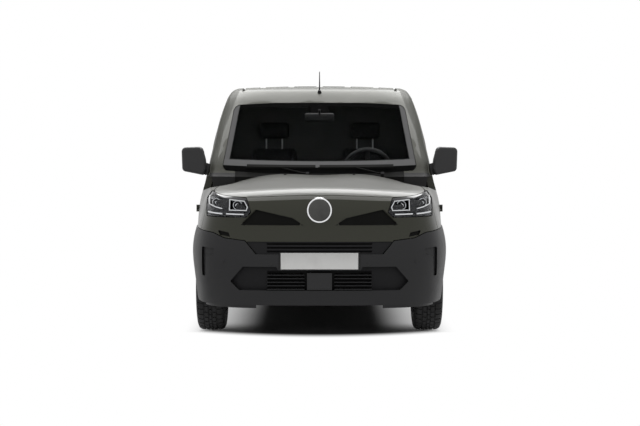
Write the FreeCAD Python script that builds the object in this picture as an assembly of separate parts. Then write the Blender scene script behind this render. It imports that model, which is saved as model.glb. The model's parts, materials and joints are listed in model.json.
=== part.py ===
"""Compact panel van, built from separate pieces at real size, in millimetres.

+Z is up, the front faces -Y, and +X is the van's left side, where the driver sits.
The origin is on the ground, midway between the two ends of the van.
The outer skin is lofted through plan outlines, one at each height, and every panel is cut from it.
"""
import functools
import math
import os

import FreeCAD
import Part
from FreeCAD import Vector

# Driving dimensions of the whole van
LENGTH = 4403.0
WHEELBASE = 2785.0
FRONT_OVERHANG = 892.0
HALF_WIDTH = 924.0
BELT_Z = 1100.0
ROOF_Z = 1810.0
TRACK = 1553.0

# Wheels and the arches round them
TYRE_RADIUS = 326.0
TYRE_WIDTH = 205.0
RIM_RADIUS = 203.0
RIM_HALF_WIDTH = 84.0
RIM_HOLES = 12
HUB_BORE = 34.0
ARCH_GAP = 50.0

# Steering wheel: how far its centre is from the middle, and its column's lean from level
STEERING_X = 372.0
STEERING_TILT = math.radians(28)

# Wipers: how far above the belt the blades rest, then for each one its pivot, how far that is behind the
# front end, and the blade's two ends across the van
WIPER_RISE = 62.0
WIPERS = [(470.0, 1256.0, -10.0, 560.0), (-90.0, 1238.0, -560.0, -30.0)]

# Walls
SIDE_WALL = 58.0
DOOR_WALL = 52.0
FRONT_WALL = 40.0
ROOF_WALL = 38.0
BONNET_THICKNESS = 30.0
PANEL_GAP = 6.0
SEAT_CLEARANCE = 0.3

# Places worked out from the driving dimensions
FRONT_END = -LENGTH / 2
REAR_END = LENGTH / 2
FRONT_AXLE = FRONT_END + FRONT_OVERHANG
REAR_AXLE = FRONT_AXLE + WHEELBASE
WHEEL_X = TRACK / 2
REAR_WHEEL_X = WHEEL_X + 8.5
KINGPIN_X = WHEEL_X - 40.0
ARCH_INNER = 484.0
ARCH_RADIUS = TYRE_RADIUS + ARCH_GAP
SIDES = {"left": 1, "right": -1}

# Front bumper
BUMPER_PROUD = 8.0
BUMPER_WALL = 46.0
BUMPER_TOP = 700.0
BUMPER_BOTTOM = 262.0

# Front door's two ends and its lower edge, then where the cabin takes over from the wings, and its middle
DOOR_FRONT = FRONT_AXLE + 545.0
DOOR_REAR = FRONT_AXLE + 1610.0
DOOR_BOTTOM = 335.0
SIDE_START = FRONT_AXLE + 610.0
MID_STATION = FRONT_AXLE + 1450.0

# Door hinges: where each axis stands in plan, the heights of its hinges, the eye's radius and the pin's
FRONT_HINGE = (929.0, DOOR_FRONT - 3.0)
FRONT_HINGE_HEIGHTS = [620.0, 860.0]
REAR_HINGE = (796.0, REAR_END - 10.5)
REAR_HINGE_HEIGHTS = [640.0, 940.0]
HINGE_EYE = 6.5
HINGE_PIN = 3.5

# Steering wheel's centre and axis, and how far in front of the centre its own column ends
STEERING_CENTRE = Vector(STEERING_X, DOOR_FRONT + 285, 1145)
STEERING_AXIS = Vector(0, math.cos(STEERING_TILT), math.sin(STEERING_TILT))
COLUMN_START = 96.0

# Cab and load floor heights, the firewall, the ledge under the bulkhead and how deep the cowl's skirt is
CAB_FLOOR = 400.0
LOAD_FLOOR = 555.0
FIREWALL = FRONT_AXLE + 385.0
BULKHEAD_SEAT = 30.0
COWL_DEPTH = 90.0

# Plan shape of the nose: share of the half width, share of the way back to the front axle
NOSE_PLAN = [
    (0.0, 0.0), (0.49, 0.025), (0.74, 0.105), (0.87, 0.22), (0.935, 0.38), (0.97, 0.57), (0.99, 0.78),
]

# Lower body, one row a level: height, nose behind the front end, then how far the side tucks in from
# the full half width at the front axle, door, middle, rear axle and tail, and the tail's set back
LOWER_LEVELS = [
    (200.0, 95.0, 74.0, 56.0, 52.0, 52.0, 64.0, 71.5),
    (330.0, 48.0, 42.0, 26.0, 24.0, 24.0, 36.0, 32.0),
    (480.0, 14.0, 27.0, 12.0, 10.0, 10.0, 22.0, 9.0),
    (640.0, 9.0, 21.0, 3.0, 3.0, 3.0, 14.0, 13.5),
    (800.0, 27.0, 56.0, 2.0, 0.0, 1.0, 12.0, 15.5),
    (925.0, 40.0, 88.0, 16.0, 4.0, 6.0, 16.0, 19.5),
    (1010.0, 88.0, 124.0, 38.0, 10.0, 12.0, 23.0, 25.5),
    (BELT_Z, 175.0, 209.0, 62.0, 18.0, 20.0, 31.0, 33.5),
    (1190.0, 290.0, 320.0, 92.0, 28.0, 30.0, 41.0, 43.5),
]

# Upper body, one row a level: share of the height from belt to roof, windscreen centre behind the front
# axle, half width and place of the windscreen's corner, half width and place where the side starts,
# then the side's tuck at the middle, rear axle and tail, and the tail's set back
UPPER_LEVELS = [
    (0.0, 345.0, 771.0, 521.0, 862.0, 610.0, 18.0, 20.0, 31.0, 33.5),
    (0.108, 437.0, 761.0, 610.0, 848.0, 710.0, 28.0, 30.0, 40.0, 40.5),
    (0.282, 586.0, 746.0, 752.0, 828.0, 855.0, 50.0, 52.0, 62.0, 53.5),
    (0.493, 769.0, 727.0, 925.0, 804.0, 1030.0, 86.0, 86.0, 96.0, 73.5),
    (0.704, 950.0, 706.0, 1098.0, 774.0, 1210.0, 131.0, 129.0, 139.0, 97.5),
    (0.804, 1037.0, 695.0, 1180.0, 755.0, 1290.0, 160.0, 158.0, 168.0, 111.5),
    (0.866, 1096.0, 684.0, 1236.0, 740.0, 1345.0, 181.0, 179.0, 189.0, 123.5),
    (0.908, 1140.0, 668.0, 1280.0, 724.0, 1390.0, 199.0, 197.0, 208.0, 136.5),
    (0.941, 1180.0, 650.0, 1320.0, 708.0, 1435.0, 216.0, 214.0, 225.0, 150.5),
    (0.963, 1222.0, 630.0, 1362.0, 688.0, 1482.0, 236.0, 234.0, 245.0, 168.5),
    (0.979, 1272.0, 604.0, 1412.0, 662.0, 1540.0, 262.0, 260.0, 271.0, 193.5),
    (0.99, 1340.0, 570.0, 1480.0, 628.0, 1615.0, 296.0, 294.0, 306.0, 229.5),
    (1.03, 1440.0, 530.0, 1580.0, 590.0, 1710.0, 336.0, 334.0, 345.0, 271.5),
]

# Bonnet: height of its centre line at each distance behind the front end, and how far the surface drops
# at each half width, one value for each of those distances
BONNET_STATIONS = [-60.0, 62.0, 150.0, 400.0, 800.0, 1200.0, 1650.0]
BONNET_HEIGHTS = [905.0, 978.0, 1022.0, 1064.0, 1098.0, 1116.0, 1150.0]
BONNET_DROPS = {
    440.0: [14.0, 12.0, 13.0, 14.0, 12.0, 10.0, 8.0],
    640.0: [24.0, 22.0, 24.0, 28.0, 40.0, 62.0, 60.0],
    1000.0: [60.0, 60.0, 60.0, 60.0, 75.0, 90.0, 80.0],
}
BONNET_SETBACKS = {0.0: 0.0, 440.0: 22.0, 640.0: 70.0, 1000.0: 250.0}

# Roof: how far its centre line is under the highest point at each distance behind the front end, and
# how far the surface drops at each half width
ROOF_STATIONS = [1000.0, 1650.0, 1900.0, 2150.0, 2700.0, 3400.0, 4000.0, 4500.0]
ROOF_FALLS = [260.0, 104.0, 52.0, 12.0, 0.0, 2.0, 13.0, 32.0]
ROOF_DROPS = {350.0: 4.0, 600.0: 14.0, 1000.0: 42.0}

FAR = 3000.0


# Geometry helpers
def spline(points):
    curve = Part.BSplineCurve()
    curve.interpolate(Points=points)
    return curve.toShape()


def mirrored_points(half):
    """The half outline from the centre line outwards, led by its mirror image."""
    return [Vector(-p.x, p.y, p.z) for p in reversed(half[1:])] + half


def mirror_x(shape):
    return shape.mirror(Vector(0, 0, 0), Vector(1, 0, 0))


def for_side(shape, side):
    return shape if SIDES[side] > 0 else mirror_x(shape)


def rounded_wire(points, radius):
    """A closed planar outline with its corners rounded; radius is one value or one for each corner."""
    count = len(points)
    radii = radius if isinstance(radius, (list, tuple)) else [radius] * count
    corners = []
    for i, p in enumerate(points):
        before = points[i - 1] - p
        after = points[(i + 1) % count] - p
        if radii[i] <= 0:
            corners.append((p, None, p))
            continue
        a = Vector(before).normalize()
        b = Vector(after).normalize()
        half = a.getAngle(b) / 2
        cut = min(radii[i] / math.tan(half), 0.48 * before.Length, 0.48 * after.Length)
        r = cut * math.tan(half)
        middle = (a + b).normalize()
        corners.append((p + a * cut, p + middle * (r / math.sin(half) - r), p + b * cut))
    edges = []
    for i, (start, mid, end) in enumerate(corners):
        if mid is not None:
            edges.append(Part.Arc(start, mid, end).toShape())
        following = corners[(i + 1) % count][0]
        if (following - end).Length > 1e-6:
            edges.append(Part.LineSegment(end, following).toShape())
    return Part.Wire(edges)


def prism(points, direction, radius=0.0):
    return Part.Face(rounded_wire(points, radius)).extrude(direction)


def side_prism(outline, x0, x1, radius=0.0):
    """A side-view outline of (y, z) points, extruded from x0 to x1."""
    return prism([Vector(x0, y, z) for y, z in outline], Vector(x1 - x0, 0, 0), radius)


def front_prism(outline, y0, y1, radius=0.0):
    """A front-view outline of (x, z) points, extruded from y0 to y1."""
    return prism([Vector(x, y0, z) for x, z in outline], Vector(0, y1 - y0, 0), radius)


def top_prism(outline, z0, z1, radius=0.0):
    """A plan outline of (x, y) points, extruded from z0 to z1."""
    return prism([Vector(x, y, z0) for x, y in outline], Vector(0, 0, z1 - z0), radius)


def box(x0, x1, y0, y1, z0, z1):
    return Part.makeBox(x1 - x0, y1 - y0, z1 - z0, Vector(x0, y0, z0))


def cylinder(radius, start, end):
    return Part.makeCylinder(radius, (end - start).Length, start, end - start)


def offset_outline(outline, distance):
    """The polygon moved outwards by distance; negative moves it inwards."""
    area = sum(a[0] * b[1] - b[0] * a[1] for a, b in zip(outline, outline[1:] + outline[:1]))
    turn = 1.0 if area > 0 else -1.0
    lines = []
    for a, b in zip(outline, outline[1:] + outline[:1]):
        length = math.hypot(b[0] - a[0], b[1] - a[1])
        nx = turn * (b[1] - a[1]) / length
        ny = -turn * (b[0] - a[0]) / length
        lines.append((nx, ny, nx * a[0] + ny * a[1] + distance))
    moved = []
    for (n1x, n1y, d1), (n2x, n2y, d2) in zip(lines[-1:] + lines[:-1], lines):
        det = n1x * n2y - n2x * n1y
        moved.append(((d1 * n2y - d2 * n1y) / det, (n1x * d2 - n2x * d1) / det))
    return moved


def largest(shape):
    return max(shape.Solids, key=lambda s: s.Volume)


# Outer skin
def tail_edge(half_width, tail, height):
    """The rear face of a plan outline, from the left side round to the right."""
    half = [
        Vector(0, tail, height),
        Vector(half_width * 0.5, tail - 2, height),
        Vector(half_width - 140, tail - 8, height),
        Vector(half_width - 52, tail - 27, height),
        Vector(half_width - 14, tail - 67, height),
        Vector(half_width, tail - 118, height),
    ]
    return spline(list(reversed(mirrored_points(half))))


def closed_plan(front_half, side_points, tail_half_width, tail, height):
    front = spline(mirrored_points(front_half))
    left = spline(side_points)
    right = spline([Vector(-p.x, p.y, p.z) for p in reversed(side_points)])
    return Part.Wire([front, left, tail_edge(tail_half_width, tail, height), right])


def lower_outline(level, inset):
    height, nose_back, at_axle, at_door, at_mid, at_rear, at_tail, tail_back = level
    tucks = (at_axle, at_door, at_mid, at_rear, at_tail)
    axle_w, door_w, mid_w, rear_w, tail_w = [HALF_WIDTH - tuck - inset for tuck in tucks]
    nose = FRONT_END + nose_back + inset
    run = FRONT_AXLE - nose
    front = [Vector(across * axle_w, nose + along * run, height) for across, along in NOSE_PLAN]
    front.append(Vector(axle_w, FRONT_AXLE, height))
    front.append(Vector((axle_w + door_w) / 2 + 4, (FRONT_AXLE + SIDE_START) / 2, height))
    front.append(Vector(door_w, SIDE_START, height))
    tail = REAR_END - tail_back - inset
    side = [
        Vector(door_w, SIDE_START, height),
        Vector(mid_w, MID_STATION, height),
        Vector(rear_w, REAR_AXLE, height),
        Vector(tail_w, tail - 118, height),
    ]
    return closed_plan(front, side, tail_w, tail, height)


@functools.cache
def lower_body(inset):
    return Part.makeLoft([lower_outline(level, inset) for level in LOWER_LEVELS], True, False)


def upper_outline(level, inset, lowered):
    share, front_back, glass_x, glass_back, start_x, start_back, at_mid, at_rear, at_tail, tail_back = level
    height = BELT_Z + share * (ROOF_Z - BELT_Z) - lowered * share
    front_y = FRONT_AXLE + front_back + inset
    glass_y = FRONT_AXLE + glass_back + inset
    start_y = FRONT_AXLE + start_back + inset
    sag = glass_y - front_y
    glass_x, start_x = glass_x - inset, start_x - inset
    front = [
        Vector(0, front_y, height),
        Vector(glass_x * 0.5, front_y + sag * 0.27, height),
        Vector(glass_x, glass_y, height),
        Vector(glass_x + (start_x - glass_x) * 0.72, glass_y + (start_y - glass_y) * 0.42, height),
        Vector(start_x, start_y, height),
    ]
    mid_w, rear_w, tail_w = [HALF_WIDTH - t - inset for t in (at_mid, at_rear, at_tail)]
    tail = REAR_END - tail_back - inset
    side = [
        Vector(start_x, start_y, height),
        Vector(mid_w, max(MID_STATION, start_y + 150), height),
        Vector(rear_w, REAR_AXLE, height),
        Vector(tail_w, tail - 118, height),
    ]
    return closed_plan(front, side, tail_w, tail, height)


@functools.cache
def upper_body(inset, lowered=0.0):
    return Part.makeLoft([upper_outline(level, inset, lowered) for level in UPPER_LEVELS], True, False)


@functools.cache
def under_bonnet(lowered=0.0):
    """Everything under the bonnet's surface, which may be lowered by a distance."""
    tops = {0.0: [(FRONT_END + s, h - lowered) for s, h in zip(BONNET_STATIONS, BONNET_HEIGHTS)]}
    for x, drops in BONNET_DROPS.items():
        tops[x] = [(y + BONNET_SETBACKS[x], z - d) for (y, z), d in zip(tops[0.0], drops)]
    return under_surface(tops)


@functools.cache
def under_roof(lowered=0.0):
    """Everything under the roof's crown, which may be lowered by a distance."""
    tops = {0.0: [(FRONT_END + s, ROOF_Z - f - lowered) for s, f in zip(ROOF_STATIONS, ROOF_FALLS)]}
    for x, drop in ROOF_DROPS.items():
        tops[x] = [(y, z - drop) for y, z in tops[0.0]]
    return under_surface(tops)


def under_surface(tops):
    """A block whose top is lofted across the van through one (y, z) profile for each half width."""
    half_widths = sorted(tops)
    wires = []
    for x in [-w for w in reversed(half_widths[1:])] + half_widths:
        top = [Vector(x, y, z) for y, z in tops[abs(x)]]
        floor = [Vector(x, top[-1].y, 100), Vector(x, top[0].y, 100)]
        wires.append(Part.Wire([
            spline(top),
            Part.LineSegment(top[-1], floor[0]).toShape(),
            Part.LineSegment(floor[0], floor[1]).toShape(),
            Part.LineSegment(floor[1], top[0]).toShape(),
        ]))
    return Part.makeLoft(wires, True, False)


class Skin:
    """The van's solid outer form, moved inwards by a distance; each form is made once."""

    made = {}

    @classmethod
    def front(cls, inset, lowered=0.0):
        key = ("front", inset, lowered)
        if key not in cls.made:
            ahead = box(-FAR, FAR, -FAR, SIDE_START, 0, FAR)
            cls.made[key] = lower_body(inset).common(under_bonnet(lowered)).common(ahead)
        return cls.made[key]

    @classmethod
    def lower(cls, inset):
        key = ("lower", inset)
        if key not in cls.made:
            cls.made[key] = lower_body(inset).common(box(-FAR, FAR, -FAR, FAR, 0, BELT_Z))
        return cls.made[key]

    @classmethod
    def upper(cls, inset, lowered=0.0):
        key = ("upper", inset, lowered)
        if key not in cls.made:
            cls.made[key] = upper_body(inset, lowered).common(under_roof(lowered))
        return cls.made[key]

    @classmethod
    def cabin(cls, inset, lowered=0.0):
        """Everything behind the front wings, lower and upper body in one."""
        key = ("cabin", inset, lowered)
        if key not in cls.made:
            behind = cls.lower(inset).common(box(-FAR, FAR, SIDE_START, FAR, 0, FAR))
            cls.made[key] = behind.fuse(cls.upper(inset, lowered))
        return cls.made[key]


def across(radius, start_x, end_x, axle_y):
    """A cylinder about a wheel's axis, from one place across the van to another."""
    return cylinder(radius, Vector(start_x, axle_y, TYRE_RADIUS), Vector(end_x, axle_y, TYRE_RADIUS))


def arch(side, axle_y, radius=ARCH_RADIUS, inner=ARCH_INNER):
    return across(radius, SIDES[side] * inner, SIDES[side] * 1200, axle_y)


def arches(radius=ARCH_RADIUS, rear_inner=ARCH_INNER):
    cuts = [arch(side, FRONT_AXLE, radius) for side in SIDES]
    cuts += [arch(side, REAR_AXLE, radius, rear_inner) for side in SIDES]
    return Part.makeCompound(cuts)


def once(build):
    """Keep a piece that is built for the left side, so that the right side can mirror it."""
    kept = {}

    def piece(side):
        if "left" not in kept:
            kept["left"] = build()
        return for_side(kept["left"], side)

    return piece


def side_zone(outline, side, grow=0.0, radius=40.0):
    points = offset_outline(outline, grow) if grow else outline
    return for_side(side_prism(points, 480, 1200, radius), side)


def rear_zone(outline, grow=0.0, radius=40.0):
    points = offset_outline(outline, grow) if grow else outline
    return front_prism(points, REAR_END - 330, REAR_END + 60, radius)


# Outlines of the openings, in side view as (y, z) and in front or rear view as (x, z)
FRONT_DOOR = [
    (DOOR_FRONT + 30, DOOR_BOTTOM + 10), (DOOR_FRONT, 690), (DOOR_FRONT, 1070), (DOOR_FRONT + 726, 1690),
    (DOOR_REAR, 1690), (DOOR_REAR, DOOR_BOTTOM + 10),
]
DOOR_CORNERS = [70.0, 200.0, 60.0, 90.0, 60.0, 60.0]
DOOR_WINDOW = [
    (DOOR_FRONT + 224, 1120), (DOOR_FRONT + 752, 1600), (DOOR_FRONT + 800, 1632), (DOOR_REAR - 66, 1632),
    (DOOR_REAR - 66, 1120),
]
WINDOW_CORNERS = [20.0, 60.0, 60.0, 40.0, 40.0]
SLIDING_DOOR = [
    (DOOR_REAR + 36, DOOR_BOTTOM + 10), (DOOR_REAR + 36, 1640), (DOOR_REAR + 712, 1640),
    (DOOR_REAR + 712, DOOR_BOTTOM + 10),
]
REAR_SPLIT = -130.0
REAR_DOOR_EDGE = [(790, 562), (790, 900), (786, 1100), (742, 1400), (700, 1560), (644, 1696)]
WINDSCREEN = [
    (740, 1150), (672, 1650), (350, 1666), (-350, 1666), (-672, 1650), (-740, 1150), (-400, 1130),
    (400, 1130),
]
WINDSCREEN_CORNERS = [40.0, 60.0, 500.0, 500.0, 60.0, 40.0, 600.0, 600.0]
BUMPER_EDGE = [
    (430, 612), (503, BUMPER_TOP), (646, BUMPER_TOP + 16), (722, BUMPER_TOP + 49), (835, BUMPER_TOP + 62),
    (1200, BUMPER_TOP + 70),
]
HEADLAMP = [(497, 861), (465, 891), (495, 984), (617, 1000), (700, 1016), (750, 1022), (782, 975), (772, 862)]
LAMP_POCKETS = [
    ([(758, 936), (764, 990), (735, 1000), (655, 978), (655, 910)], 34.0, 8.0),
    ([(612, 902), (610, 976), (508, 966), (484, 925), (492, 900)], 40.0, 14.0),
    ([(764, 874), (764, 900), (652, 890), (652, 870)], 9.0, 4.0),
    ([(628, 870), (628, 888), (505, 886), (505, 870)], 9.0, 4.0),
]
LOWER_INTAKE_HALF = [(545, 366), (604, 426), (516, 528), (290, 528), (278, 505)]
NOSE_SLIT = [(602, 722), (614, 756), (692, 770), (672, 734)]
AIR_CURTAIN = [(804, 652), (716, 646), (722, 604), (772, 590), (780, 453), (804, 453)]
NOSE_RECESS = [(430, 912), (176, 858), (100, 803), (540, 803)]
NOSE_DISC_Z = 907.5
NOSE_DISC_RADIUS = 84.0
LOAD_RECESS = [
    (DOOR_REAR + 860, 1178), (DOOR_REAR + 860, 1560), (REAR_END - 240, 1540), (REAR_END - 205, 1178),
]
SLIDING_RECESS = [
    (DOOR_REAR + 110, 1170), (DOOR_REAR + 110, 1565), (DOOR_REAR + 640, 1565), (DOOR_REAR + 640, 1170),
]
REAR_RECESSES = {
    "left": [(-50, 1130), (-50, 1560), (560, 1560), (650, 1130)],
    "right": [(-210, 1130), (-210, 1560), (-560, 1560), (-650, 1130)],
}
BONNET_EDGE = [
    (0, 116), (200, 118), (320, 124), (420, 134), (520, 160), (600, 197), (690, 277), (724, 380), (736, 520),
    (730, 800), (706, 1100),
]
BONNET_REAR = [(680, 1302), (560, 1246), (420, 1216), (200, 1203)]


def mirrored_outline(half):
    """A closed outline from its right-hand half, listed from bottom to top."""
    return half + [(-x, z) for x, z in reversed(half)]


def rear_doors_outline():
    return mirrored_outline(REAR_DOOR_EDGE)


def bumper_zone(grow=0.0):
    """Front view of everything the bumper covers, from below its lower edge up to its top edge."""
    half = [(1200, 100)] + list(reversed(BUMPER_EDGE))
    outline = half + [(-x, z) for x, z in reversed(half)]
    points = offset_outline(outline, grow) if grow else outline
    return front_prism(points, FRONT_END - 60, FRONT_AXLE)


@functools.cache
def bonnet_zone(grow=0.0):
    """Plan of the bonnet; it starts above the lamps and runs through the top."""
    half = [(x, FRONT_END + y) for x, y in BONNET_EDGE[1:] + BONNET_REAR]
    outline = half + [(-x, y) for x, y in reversed(half)]
    corners = [300.0] * (len(BONNET_EDGE) - 1) + [12.0] + [300.0] * (len(BONNET_REAR) - 1)
    points = offset_outline(outline, grow) if grow else outline
    return top_prism(points, 700, 1400, corners + list(reversed(corners)))


def moved(shape, x=0.0, y=0.0, z=0.0):
    copy = shape.copy()
    copy.translate(Vector(x, y, z))
    return copy


# Hinges
def hinge_eye(place, height, leaf):
    """The moving half of a hinge: an eye round the pin and the leaf that ties it to its door."""
    foot = Vector(place[0], place[1], height)
    eye = cylinder(HINGE_EYE, foot - Vector(0, 0, 12), foot + Vector(0, 0, 12))
    bore = cylinder(HINGE_PIN + SEAT_CLEARANCE, foot - Vector(0, 0, 20), foot + Vector(0, 0, 20))
    return eye.fuse(box(*leaf, height - 12, height + 12)).cut(bore)


def hinge_pin(place, height, leaf):
    """The fixed half of a hinge: the pin and the two knuckles that hold it above and below the eye."""
    foot = Vector(place[0], place[1], height)
    half = cylinder(HINGE_PIN, foot - Vector(0, 0, 26), foot + Vector(0, 0, 26))
    for low in (height - 26, height + 12 + SEAT_CLEARANCE):
        high = low + 14 - SEAT_CLEARANCE
        knuckle = cylinder(HINGE_EYE, Vector(foot.x, foot.y, low), Vector(foot.x, foot.y, high))
        half = half.fuse([knuckle, box(*leaf, low, high)])
    return half


# Front of the van
def bonnet():
    zone = bonnet_zone()
    panel = Skin.front(0.0).common(zone).cut(under_bonnet(BONNET_THICKNESS))
    panel = panel.cut(zone.cut(bonnet_zone(-14)).common(under_bonnet(13)))
    return largest(panel)


def front_panel():
    panel = Skin.front(0.0).common(box(-850, 850, -FAR, FRONT_AXLE - 545, 0, FAR)).cut(bonnet_zone(7))
    panel = panel.cut(Skin.front(FRONT_WALL)).cut(bumper_zone(5)).cut(grille_zone(0.4))
    for side in SIDES:
        lamp = front_prism(offset_outline(HEADLAMP, 5), -FAR, FRONT_AXLE - 200, 12)
        above = front_prism([(500, 930), (1000, 900), (1000, 1300), (500, 1300)], -FAR, 0)
        panel = panel.cut(for_side(lamp, side)).cut(for_side(above, side))
        recess = front_prism(NOSE_RECESS, -FAR, FRONT_END + 120, 14)
        slit = front_prism(NOSE_SLIT, -FAR, FRONT_END + 300, 6)
        recess = Part.makeCompound([recess, slit]).cut(moved(Skin.front(0.0), y=14))
        panel = panel.cut(for_side(recess, side))
    return largest(panel)


def nose_disc():
    """The blank disc in the middle of the nose, curved as the panel that it sits on."""
    start, end = Vector(0, FRONT_END - 60, NOSE_DISC_Z), Vector(0, FRONT_END + 160, NOSE_DISC_Z)
    reach = cylinder(NOSE_DISC_RADIUS, start, end)
    disc = moved(Skin.front(0.0), y=-7).common(reach)
    return largest(disc.cut(moved(Skin.front(0.0), y=-SEAT_CLEARANCE)))


def grille_zone(grow):
    outline = mirrored_outline([(422, BUMPER_EDGE[0][1] + SEAT_CLEARANCE), (496, BUMPER_TOP - 4)])
    points = offset_outline(outline, grow) if grow else outline
    return front_prism(points, -FAR, FRONT_AXLE - 500, 6)


def grille():
    frame = Skin.front(6.0).common(grille_zone(0)).cut(Skin.front(FRONT_WALL))
    slots = [
        front_prism([(-353, z), (353, z), (356, z + 14), (-356, z + 14)], -FAR, FRONT_END + 38, 3)
        for z in (624.0, 649.0, 674.0)
    ]
    mouth = front_prism(mirrored_outline(LOWER_INTAKE_HALF), -FAR, FRONT_AXLE - 390, 8)
    lower = lower_body(22.0).common(mouth)
    gaps = []
    for k in range(5):
        z = 378.0 + 24.0 * k
        gaps.append(box(108, 346, -FAR, FRONT_END + 66, z, z + 13))
        gaps.append(box(-346, -108, -FAR, FRONT_END + 66, z, z + 13))
    lower = lower.cut(lower_body(BUMPER_WALL)).cut(Part.makeCompound(gaps))
    return Part.makeCompound([largest(frame.cut(Part.makeCompound(slots))), largest(lower)])


def front_bumper():
    solid = lower_body(-BUMPER_PROUD).common(box(-FAR, FAR, -FAR, FRONT_AXLE, BUMPER_BOTTOM, FAR))
    wall = solid.common(bumper_zone()).cut(lower_body(BUMPER_WALL))
    wall = wall.cut(front_prism(mirrored_outline(LOWER_INTAKE_HALF), -FAR, -1700, 8)).cut(arches())
    plate_face = front_prism([(-275, 507), (275, 507), (275, 625), (-275, 625)], -FAR, FRONT_END + 13.5, 8)
    wall = wall.cut(plate_face)
    for side in SIDES:
        pocket = front_prism(AIR_CURTAIN, -FAR, FRONT_AXLE, 8).cut(moved(solid, y=26))
        wall = wall.cut(for_side(pocket, side))
        flap = lower_body(22.0).cut(lower_body(BUMPER_WALL - 6))
        foot, stop = BUMPER_BOTTOM - 24, FRONT_AXLE - ARCH_RADIUS - 20
        flap = flap.common(box(430, 790, -FAR, stop, foot, BUMPER_BOTTOM + 12))
        wall = wall.fuse(for_side(flap, side))
    return largest(wall)


@once
def headlamp():
    """The lamp's body behind its clear cover, with a pocket for each of its units."""
    lamp = Skin.front(5.0).cut(Skin.front(75.0)).common(front_prism(HEADLAMP, -FAR, FRONT_AXLE - 300, 8))
    for outline, depth, radius in LAMP_POCKETS:
        pocket = front_prism(outline, -FAR, FRONT_AXLE - 300, radius)
        lamp = lamp.cut(pocket.cut(moved(Skin.front(5.0), y=depth)))
    lid = bonnet_zone(7).cut(under_bonnet(BONNET_THICKNESS + 7))
    foot = HEADLAMP[0][1] - 5 + SEAT_CLEARANCE
    tab = front_prism([(510, foot), (570, foot), (570, foot + 16), (510, foot + 16)], -FAR, FRONT_AXLE - 300)
    return largest(lamp.cut(lid).fuse(tab.common(Skin.front(6.0).cut(Skin.front(FRONT_WALL)))))


@once
def front_wing():
    """The wing, with the ledge that the bonnet's edge rests on and the fixed halves of the door's hinges."""
    start, stop = FRONT_AXLE - 538, DOOR_FRONT - PANEL_GAP
    panel = Skin.front(0.0).common(box(300, FAR, -FAR, stop, 215, FAR)).cut(bonnet_zone(6))
    panel = panel.cut(Skin.front(SIDE_WALL, BONNET_THICKNESS)).cut(bumper_zone(5))
    panel = panel.cut(arch("left", FRONT_AXLE))
    panel = panel.cut(front_prism(offset_outline(HEADLAMP, 5), -FAR, FRONT_AXLE - 200, 12))
    panel = panel.cut(box(0, 1000, -FAR, start, 0, 925)).cut(box(0, 674, -FAR, FAR, 0, FAR))
    ledge = under_bonnet(13 + SEAT_CLEARANCE).cut(under_bonnet(27))
    ledge = ledge.common(box(698, 724, FRONT_END + 1080, FRONT_END + 1140, 900, FAR))
    x, y = FRONT_HINGE
    leaf = (x - 26, x + 1, y - 12, y - 1)
    pins = [hinge_pin(FRONT_HINGE, z, leaf) for z in FRONT_HINGE_HEIGHTS]
    return largest(panel.cut(upper_body(-0.5)).fuse(pins + [ledge]))


def below_belt(inset):
    """The outline of the upper body at the belt, carried straight down."""
    return Part.Face(upper_outline(UPPER_LEVELS[0], inset, 0.0)).extrude(Vector(0, 0, -110))


@functools.cache
def cowl():
    """The scuttle behind the bonnet, with the flange that the windscreen's lower edge rests on."""
    width = 639.6
    layer = under_bonnet(5).cut(under_bonnet(30))
    layer = layer.common(box(-666, 666, FRONT_END + 1180, SIDE_START, 900, FAR))
    layer = layer.cut(bonnet_zone(7)).cut(upper_body(18.0)).cut(below_belt(18.0))
    room = box(-width, width, -FAR, DOOR_FRONT - 3, BELT_Z, BELT_Z + 70)
    strip = upper_body(2.0).common(room).cut(upper_body(18.0))
    room = box(-width, width, -FAR, DOOR_FRONT - 3, BELT_Z - COWL_DEPTH, BELT_Z)
    skirt = below_belt(2.0).cut(below_belt(18.0)).common(room)
    return largest(layer.fuse([strip, skirt]).cut(windscreen_opening()))


# Glass
def windscreen():
    outline = front_prism(WINDSCREEN, -FAR, MID_STATION, WINDSCREEN_CORNERS)
    return largest(upper_body(2.0).cut(upper_body(11.0)).common(outline))


@functools.cache
def windscreen_opening():
    seat = front_prism(offset_outline(WINDSCREEN, 4), -FAR, MID_STATION, WINDSCREEN_CORNERS)
    hole = front_prism(offset_outline(WINDSCREEN, -26), -FAR, MID_STATION, WINDSCREEN_CORNERS)
    return seat.cut(upper_body(11.5)).fuse(hole)


@once
def door_glass():
    outline = side_zone(DOOR_WINDOW, "left", 10, WINDOW_CORNERS)
    return largest(upper_body(10.0).cut(upper_body(15.0)).common(outline))


# Sides, roof and doors
@functools.cache
def cabin_shell():
    return Skin.cabin(0.0).cut(Skin.cabin(SIDE_WALL, ROOF_WALL))


def roof_groove():
    lines = [box(598, 622, FRONT_AXLE, FAR, 1500, FAR), box(-622, -598, FRONT_AXLE, FAR, 1500, FAR)]
    return Part.makeCompound(lines).cut(under_roof(ROOF_DROPS[600.0] + 8))


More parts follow.
